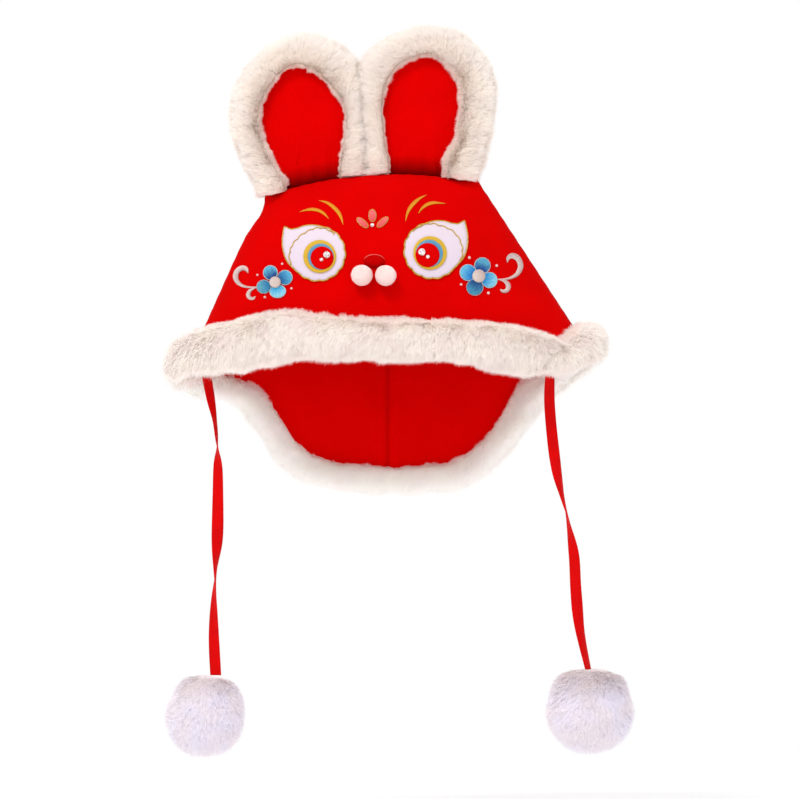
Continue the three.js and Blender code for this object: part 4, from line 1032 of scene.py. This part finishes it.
def make_ear_cloth(side, tip, lip, seed):
    """The padded cloth of an ear. Its foot is pinched and tucked in behind the crown's top edge."""
    base_count, rings = 34, 26
    edge = lip + (tip - lip) * EAR["cover"]

    def tucked(p, depth):
        floor = crown_top(p[:, 0], EAR["lip"]) - depth
        return np.stack([p[:, 0], p[:, 1], np.maximum(p[:, 2], floor)], -1)

    lips, edges = tucked(lip, 1), tucked(edge, 3.5)
    steps = np.arange(1, base_count + 1) / (base_count + 1)
    base_x = lips[-1, 0] + (lips[0, 0] - lips[-1, 0]) * steps
    base = np.stack([base_x, 0 * base_x, crown_top(base_x, EAR["lip"]) - 3.5], -1)
    lips = np.concatenate([lips, base + (0, 0, 2.5)])
    edges = np.concatenate([edges, base])
    centre = lips.mean(0)
    loop = len(lips)
    shares = np.linspace(0, 1, rings + 1)[1:]
    flat = np.concatenate([centre + (lips - centre)[None] * shares[:, None, None], edges[None]])
    height = flat[..., 2] - crown_top(flat[..., 0], EAR["lip"])
    pinch = 1 - EAR["pinch"] * np.exp(-np.maximum(height + 1, 0) / 5)
    half = EAR["middle"] + (EAR["lip"] - EAR["middle"]) * shares**2
    thick = np.append(half, EAR["edge"])[:, None] * pinch
    fade = np.append(1 - shares**8, 0)[:, None]
    points, faces, heights = [], [], []
    for face in (-1, 1):
        fold = (EAR["fold"] * np.exp(-np.maximum(height, 0) / 9)
                * np.sin(flat[..., 0] * 0.62 + 1.3 * face))
        soft = EAR["soft"] * waves(flat[..., [0, 2]], 24, seed + face)
        sheet = np.stack([flat[..., 0], face * (thick + (fold + soft) * fade), flat[..., 2]], -1)
        first = len(points) * (sheet[..., 0].size + 1)
        points.append(np.concatenate([sheet.reshape(-1, 3), sheet[:1].mean(1)]))
        heights.append(np.append(height, 60))
        faces.append(grid_faces(rings + 1, loop, wrap_columns=True, first=first))
        faces.append(fan_faces(first + sheet[..., 0].size, first + np.arange(loop)))
    size = (rings + 1) * loop + 1
    outer = rings * loop + np.arange(loop)
    faces.append(np.stack([outer, np.roll(outer, -1), np.roll(outer, -1) + size, outer + size], -1))
    # v is the height above the crown's top, which sets the painted shade at the ear's foot.
    uv = np.stack([np.concatenate(points)[:, 0], np.concatenate(heights)], -1)
    cloth = make_piece(f"ear_cloth_{side}", np.concatenate(points), faces, EAR_RED,
                       [f"ear_{side}"], uv)


def make_ear_hair(side, tip, lip, divide, lean, seed):
    """The fur border that wraps round an ear's edge."""
    lip = lip + unit(tip - lip) * EAR["fur_in"]
    across = tip - lip
    y = EAR["lip"] + EAR["room"]
    arc = [lip + (0, -y, 0)]
    for along, depth in EAR_SECTION:
        arc.append(lip + across * along + np.array([0, -depth * EAR["depth"], 0]))
    arc.append(lip + (0, y, 0))
    outline = curve_through(np.stack(arc), EAR_COAT["across"]).transpose(1, 0, 2)
    backing, way, flow, reach = coat(outline, lip + across * 0.45, EAR_COAT, seed)
    limit = EAR_DIVIDE["x"] + EAR_DIVIDE["slope"] * (backing[..., 2] - EAR_DIVIDE["z"])
    limit = limit + 1.2 * waves(backing[..., 1:], 14, 5) - 0.5 * divide
    beyond = np.maximum(0, (limit - backing[..., 0]) * divide)
    backing[..., 0] += beyond * divide
    floor = crown_top(backing[..., 0], EAR["lip"]) + EAR["fur_foot"]
    floor = floor - 3 * blend(-backing[..., 0], 30, 60) - 1.6 * blend(backing[..., 0], 10, 40)
    backing[..., 2] = np.maximum(backing[..., 2], floor)
    forward = blend(beyond, 0, 4)[..., None] * np.array([0.25, 0.9, -0.7])
    forward[..., 1] *= np.sign(outline[..., 1])
    grow(f"ear_hair_{side}", backing, way, flow + forward + lean, reach, HAIRS["ear"], seed,
         [EAR_FUR, FUR_ROOT], [f"ear_fur_{side}"], closed=False)


for ear_side, ear_table, ear_divide, ear_lean, ear_seed in (
        ("left", EAR_LEFT, -1, (0.1, 0, 0.2), 61), ("right", EAR_RIGHT, 1, (-0.35, 0, 0.12), 71)):
    ear_tip, ear_lip = ear_stations(ear_table, 110)
    make_ear_cloth(ear_side, ear_tip, ear_lip, ear_seed)
    make_ear_hair(ear_side, ear_tip, ear_lip, ear_divide, ear_lean, ear_seed)


def make_felt():
    """The pale backing of the fur strips, which shows where they meet behind the crown's top."""
    x = np.linspace(*FELT_STRIP["x"], 17)
    foot = crown_top(x, EAR["lip"])
    half, low, high = FELT_STRIP["half"], FELT_STRIP["low"], FELT_STRIP["high"]
    ring = [np.stack([x, np.full_like(x, y), foot + up], -1)
            for y, up in ((-half, low), (-half, high), (half, high), (half, low))]
    grid = np.stack(ring, 1)
    index = np.arange(grid[..., 0].size).reshape(grid.shape[:2])
    faces = [grid_faces(*grid.shape[:2], wrap_columns=True), index[:1, ::-1], index[-1:]]
    make_piece("ear_felt", grid.reshape(-1, 3), faces, FELT)


make_felt()


# Embroidered face

def raised(name, outline, middle, patch, material, replaces=(), uv=None, rings=9):
    """A raised patch on the front panel. outline and middle are places seen from the front, and
    patch is a row of PATCHES. Its edge goes down into the cloth."""
    base, rise, profile = patch
    outline, middle = np.asarray(outline, float), np.asarray(middle, float)
    shares = np.linspace(0, 1, rings + 1)[1:]
    places = middle + (outline - middle)[None] * shares[:, None, None]
    lift = base + rise * ((1 - profile) + profile * np.sqrt(np.maximum(0, 1 - shares**2)))
    rows = [on_front(p[:, 0], p[:, 1], h) for p, h in zip(places, lift)]
    rows.append(on_front(outline[:, 0], outline[:, 1], base - SINK))
    grid = np.stack(rows)
    loop = len(outline)
    points = np.concatenate([grid.reshape(-1, 3), on_front(*middle, base + rise)[None]])
    faces = [grid_faces(len(grid), loop, wrap_columns=True),
             fan_faces(len(points) - 1, np.arange(loop))]
    if uv is not None:
        uv = uv(np.concatenate([places.reshape(-1, 2), outline, middle[None]]))
    make_piece(name, points, faces, material, replaces, uv)


def stitched_along(angle, size):
    """Threads side by side; v runs along them over a given size."""
    a = math.radians(angle)

    def find(flat):
        x, z = (flat - flat[-1]).T
        return np.stack([x * math.sin(a) - z * math.cos(a),
                         0.5 + (x * math.cos(a) + z * math.sin(a)) / size], -1)
    return find


def stitched_round(middle, inner, outer):
    """Threads that radiate from a middle; v is 0 at the inner radius and 1 at the outer one."""
    def find(flat):
        x, z = (flat - np.asarray(middle)).T
        v = (np.hypot(x, z) - inner) / (outer - inner)
        return np.stack([np.arctan2(z, x) * 0.5 * (inner + outer), v], -1)
    return find


def circle(x, z, radius, count=48, stretch=1.0, angle=0.0):
    a = np.linspace(0, 2 * math.pi, count, endpoint=False)
    c, s = math.cos(math.radians(angle)), math.sin(math.radians(angle))
    p, q = radius * np.cos(a), radius * stretch * np.sin(a)
    return np.stack([x + p * c - q * s, z + p * s + q * c], -1)


def face_line(name, places, kind, material, closed=False, taper=0):
    """A couched cord along places on the front, slightly beaded as twisted thread is."""
    radius, lift = CORDS[kind]
    places = np.asarray(places, float)
    points = on_front(places[:, 0], places[:, 1], lift)
    normal = front_normal(places[:, 0], places[:, 1])
    if closed:
        tangent = unit(np.roll(points, -1, 0) - np.roll(points, 1, 0))
    else:
        tangent = unit(np.gradient(points, axis=0))
    side = unit(np.cross(tangent, normal))
    along = distances(points)
    thick = radius * (1 + 0.12 * np.sin(along * 2 * math.pi / 1.1))
    if taper:
        ends = np.minimum(np.arange(len(points)), np.arange(len(points))[::-1])
        thick = thick * np.clip(0.25 + ends / taper, 0, 1)
    rings = [points + side * (np.cos(a) * thick)[:, None] + normal * (np.sin(a) * thick)[:, None]
             for a in np.linspace(0, 2 * math.pi, 6, endpoint=False)]
    grid = np.stack(rings, 1)
    faces = [grid_faces(*grid.shape[:2], wrap_rows=closed, wrap_columns=True)]
    make_piece(name, grid.reshape(-1, 3), faces, material)


def beads(name, places, lift, material):
    around, rings = 16, 9
    points, faces = [], []
    for x, z, radius in places:
        out = front_normal(x, z)
        centre = on_front(x, z, lift) + out * 0.35 * radius
        grid, _ = ball_grid(centre, (radius,) * 3, out, around, rings)
        faces.append(grid_faces(around, rings, wrap_rows=True, first=len(points) * around * rings))
        points.append(grid.reshape(-1, 3))
    make_piece(name, np.concatenate(points), faces, material)


def resample(places, count):
    """Evenly spaced places round a closed line."""
    places = np.concatenate([places, places[:1]])
    along = distances(places)
    at = np.linspace(0, along[-1], count, endpoint=False)
    return np.stack([np.interp(at, along, places[:, k]) for k in (0, 1)], -1)


def eye_outline(eye):
    """A scalloped circle with a leaf-shaped corner."""
    x, z = eye["middle"]
    turns, extras = np.array(EYE_TAIL, float).T
    a = np.concatenate([np.linspace(turns[0], 0, 60), np.linspace(0, turns[-1], 40)[1:],
                        np.linspace(turns[-1], 360 + turns[0], 150)[1:-1]])
    extra = np.interp(a, turns, extras, right=0)
    whole = 360 + turns[0]
    round_part = blend(a, turns[-1], turns[-1] + 15) * (1 - blend(a, whole - 15, whole))
    extra = extra + 0.7 * round_part * np.abs(np.sin(math.pi * (a - turns[-1]) / 24))
    angle = np.radians(eye["tail"] - eye["turn"] * a)
    r = eye["radius"] - 0.35 * round_part + extra
    return np.stack([x + r * np.cos(angle), z + r * np.sin(angle)], -1)


def make_eye(name, eye):
    outline = eye_outline(eye)
    middle = eye["middle"]
    raised(f"eye_white_{name}", outline, middle, PATCHES["eye_white"], WHITE_SATIN,
           [f"eye_patch_{name}"], stitched_along(78, 40))
    face_line(f"eye_edge_{name}", resample(outline, 260), "eye_edge", GOLD_LINE,
              closed=True)
    t = np.linspace(0, 1, 140)
    a, r = curve_through(eye["line"], len(t)).T
    a, r = np.radians(a), r - 0.35 + 0.75 * np.abs(np.sin(math.pi * 8.5 * t))
    line = np.stack([middle[0] + r * np.cos(a), middle[1] + r * np.sin(a)], -1)
    face_line(f"eye_line_{name}", line, "eye_line", GOLD_LINE, taper=5)
    ring, blue, pupil = eye["ring"], eye["blue"], eye["pupil"]
    raised(f"eye_gold_{name}", circle(*ring), ring[:2], PATCHES["eye_gold"], RING_GOLD,
           [f"eye_ring_{name}"], stitched_round(ring[:2], 6, ring[2]))
    raised(f"eye_blue_{name}", circle(*blue), blue[:2], PATCHES["eye_blue"], BLUE_SATIN,
           uv=stitched_round(blue[:2], 6, blue[2]))
    raised(f"eye_dome_{name}", circle(*pupil), pupil[:2], PATCHES["eye_dome"], VELVET,
           [f"pupil_{name}"])
    beads(f"eye_glints_{name}", eye["glints"], GLINT_LIFT, SPARKLE)


def strip(name, rows, band, material, node):
    """A stitched strip along a middle line with a width at each point, its threads across it."""
    base, rise = band
    x, z, width = np.asarray(rows, float).T
    heading = unit(np.stack([np.gradient(x), np.gradient(z)], -1))
    side = np.stack([heading[:, 1], -heading[:, 0]], -1)
    shares = np.array([-0.5, -0.49, -0.36, -0.18, 0, 0.18, 0.36, 0.49, 0.5])
    lifts = base + rise * np.sqrt(np.maximum(0, 1 - (2 * shares) ** 2))
    lifts[[0, -1]] = base - SINK
    slim = np.clip(width / 2.0, 0.3, 1)
    columns = [on_front(x + side[:, 0] * width * s, z + side[:, 1] * width * s,
                        base + (h - base) * slim) for s, h in zip(shares, lifts)]
    grid = np.stack(columns, 1)
    along = distances(np.stack([x, z], -1))
    across = np.tile(shares + 0.5, len(x))
    slant = np.repeat(along, len(shares)) + 0.8 * across * np.repeat(width, len(shares))
    uv = np.stack([slant, across], -1)
    make_piece(name, grid.reshape(-1, 3), [grid_faces(*grid.shape[:2])], material,
               [node], uv)


def make_flower(name, flower):
    x, z, radius = flower["middle"]
    base, rise, profile = PATCHES["petal"]
    for k, (px, pz, size, stretch, angle, root, tip) in enumerate(flower["petals"]):
        outline = circle(px, pz, size * stretch, 44, 1 / stretch, angle)
        look = thread_look(f"petal_{name}_{k}", rgb(*root), rgb(*tip), 0.5, mottle=0.6, groove_shade_grey=168)
        reach = math.hypot(px - x, pz - z) + size
        patch = (base, rise + PETAL_STEP * k, profile)
        raised(f"flower_petal_{name}_{k}", outline, (px, pz), patch, look,
               [f"flower_{name}"], stitched_round((x, z), 0.35 * reach, reach))
        face_line(f"flower_edge_{name}_{k}", outline, "petal", SILVER_LINE,
                  closed=True)
    raised(f"flower_button_{name}", circle(x, z, radius, 36), (x, z), PATCHES["button"],
           BUTTON_SATIN, [f"flower_centre_{name}"],
           stitched_along(35, 2 * radius))


for eye_name, eye_spec in EYES.items():
    make_eye(eye_name, eye_spec)
for brow_name, brow_rows in BROWS.items():
    strip(f"brow_stitch_{brow_name}", curve_through(brow_rows, 60), BANDS["brow"], GOLD_SATIN,
          f"brow_{brow_name}")
for petal_name, (cx, cz, long, wide, tilt) in PETALS.items():
    petal_edge = circle(cx, cz, long, 40, wide / long, tilt)
    raised(f"forehead_{petal_name}", petal_edge, (cx, cz), PATCHES["forehead"], PINK_SATIN,
           [f"petal_{petal_name}"], stitched_along(tilt, 2 * long))
    face_line(f"forehead_edge_{petal_name}", petal_edge, "forehead", GOLD_LINE,
              closed=True)
for flower_name, flower_spec in FLOWERS.items():
    make_flower(flower_name, flower_spec)
for scroll_name, scroll_rows in SCROLLS.items():
    strip(f"scroll_stitch_{scroll_name}", curve_through(scroll_rows, 70), BANDS["scroll"],
          SILVER_SATIN, f"scroll_{scroll_name}")
beads("pearl_dots", DOTS, BEAD_LIFT, PEARL)
beads("forehead_pearl", [FOREHEAD_PEARL], BEAD_LIFT, SPARKLE)


def make_nose():
    rim = circle(NOSE["x"], NOSE["z"], NOSE["width"], 48, NOSE["height"] / NOSE["width"])
    raised("nose_dome", rim, (NOSE["x"], NOSE["z"]), PATCHES["nose"], NOSE_VELVET,
           ["nose"], rings=12)
    face_line("nose_edge", rim[2:23], "nose", NOSE_LINE, taper=7)


def make_muzzle(name, x, z, radius, seed):
    out = front_normal(x, z)
    stand = radius - 0.3
    centre = on_front(x, z - stand * out[2], 0) + out * stand
    core = MUZZLE_COAT["core"] * radius
    grid, way = ball_grid(centre, (core, core, core), out, 36, 18, 0.01, seed)
    grow(f"muzzle_fluff_{name}", grid, way, way - MUZZLE_COAT["hang"],
         MUZZLE_COAT["hair"] * radius, HAIRS["muzzle"], seed, [MUZZLE_FUR, MUZZLE_FUR],
         [f"muzzle_{name}"], clump=1.2, width=0.4, gather=0.3, droop=0)


make_nose()
make_muzzle("left", *MUZZLE["left"], 81)
make_muzzle("right", *MUZZLE["right"], 82)


# Floor and light

def make_stage():
    angle = np.linspace(0, 2 * math.pi, 96, endpoint=False)
    radius, z = STAGE["radius"], CAD_BOX[0][2] / MM - STAGE["below"]
    ring = np.stack([radius * np.cos(angle), radius * np.sin(angle), np.full_like(angle, z)], -1)
    mesh = bpy.data.meshes.new("floor")
    mesh.from_pydata((ring * MM).tolist(), [], [list(range(len(ring)))])
    look = Look("floor", Roughness=0.9, Specular_IOR_Level=0.1)
    look.colour(look.ramp(look.noise(120, 2.0), (0.0, rgb(250, 250, 250)),
                          (1.0, rgb(254, 254, 254))))
    mesh.materials.append(look.material)
    floor = add_object("floor", mesh)


def add_light(name, place, target, size, power):
    data = bpy.data.lights.new(name, "AREA")
    data.shape = "DISK"
    data.size = size
    data.energy = power
    light = add_object(name, data)
    light.location = place
    light.rotation_euler = (Vector(target) - Vector(place)).to_track_quat("-Z", "Y").to_euler()


def set_world():
    world = bpy.data.worlds.new("studio")
    world.use_nodes = True
    background = world.node_tree.nodes["Background"]
    background.inputs["Color"].default_value = (1, 1, 1, 1)
    background.inputs["Strength"].default_value = 1.0
    scene = bpy.context.scene
    scene.world = world
    scene.cycles.max_bounces = scene.cycles.diffuse_bounces = BOUNCES
    scene.view_settings.view_transform = "Standard"
    scene.view_settings.look = "None"


make_stage()
set_world()
for light_row in LIGHTS:
    add_light(*light_row)
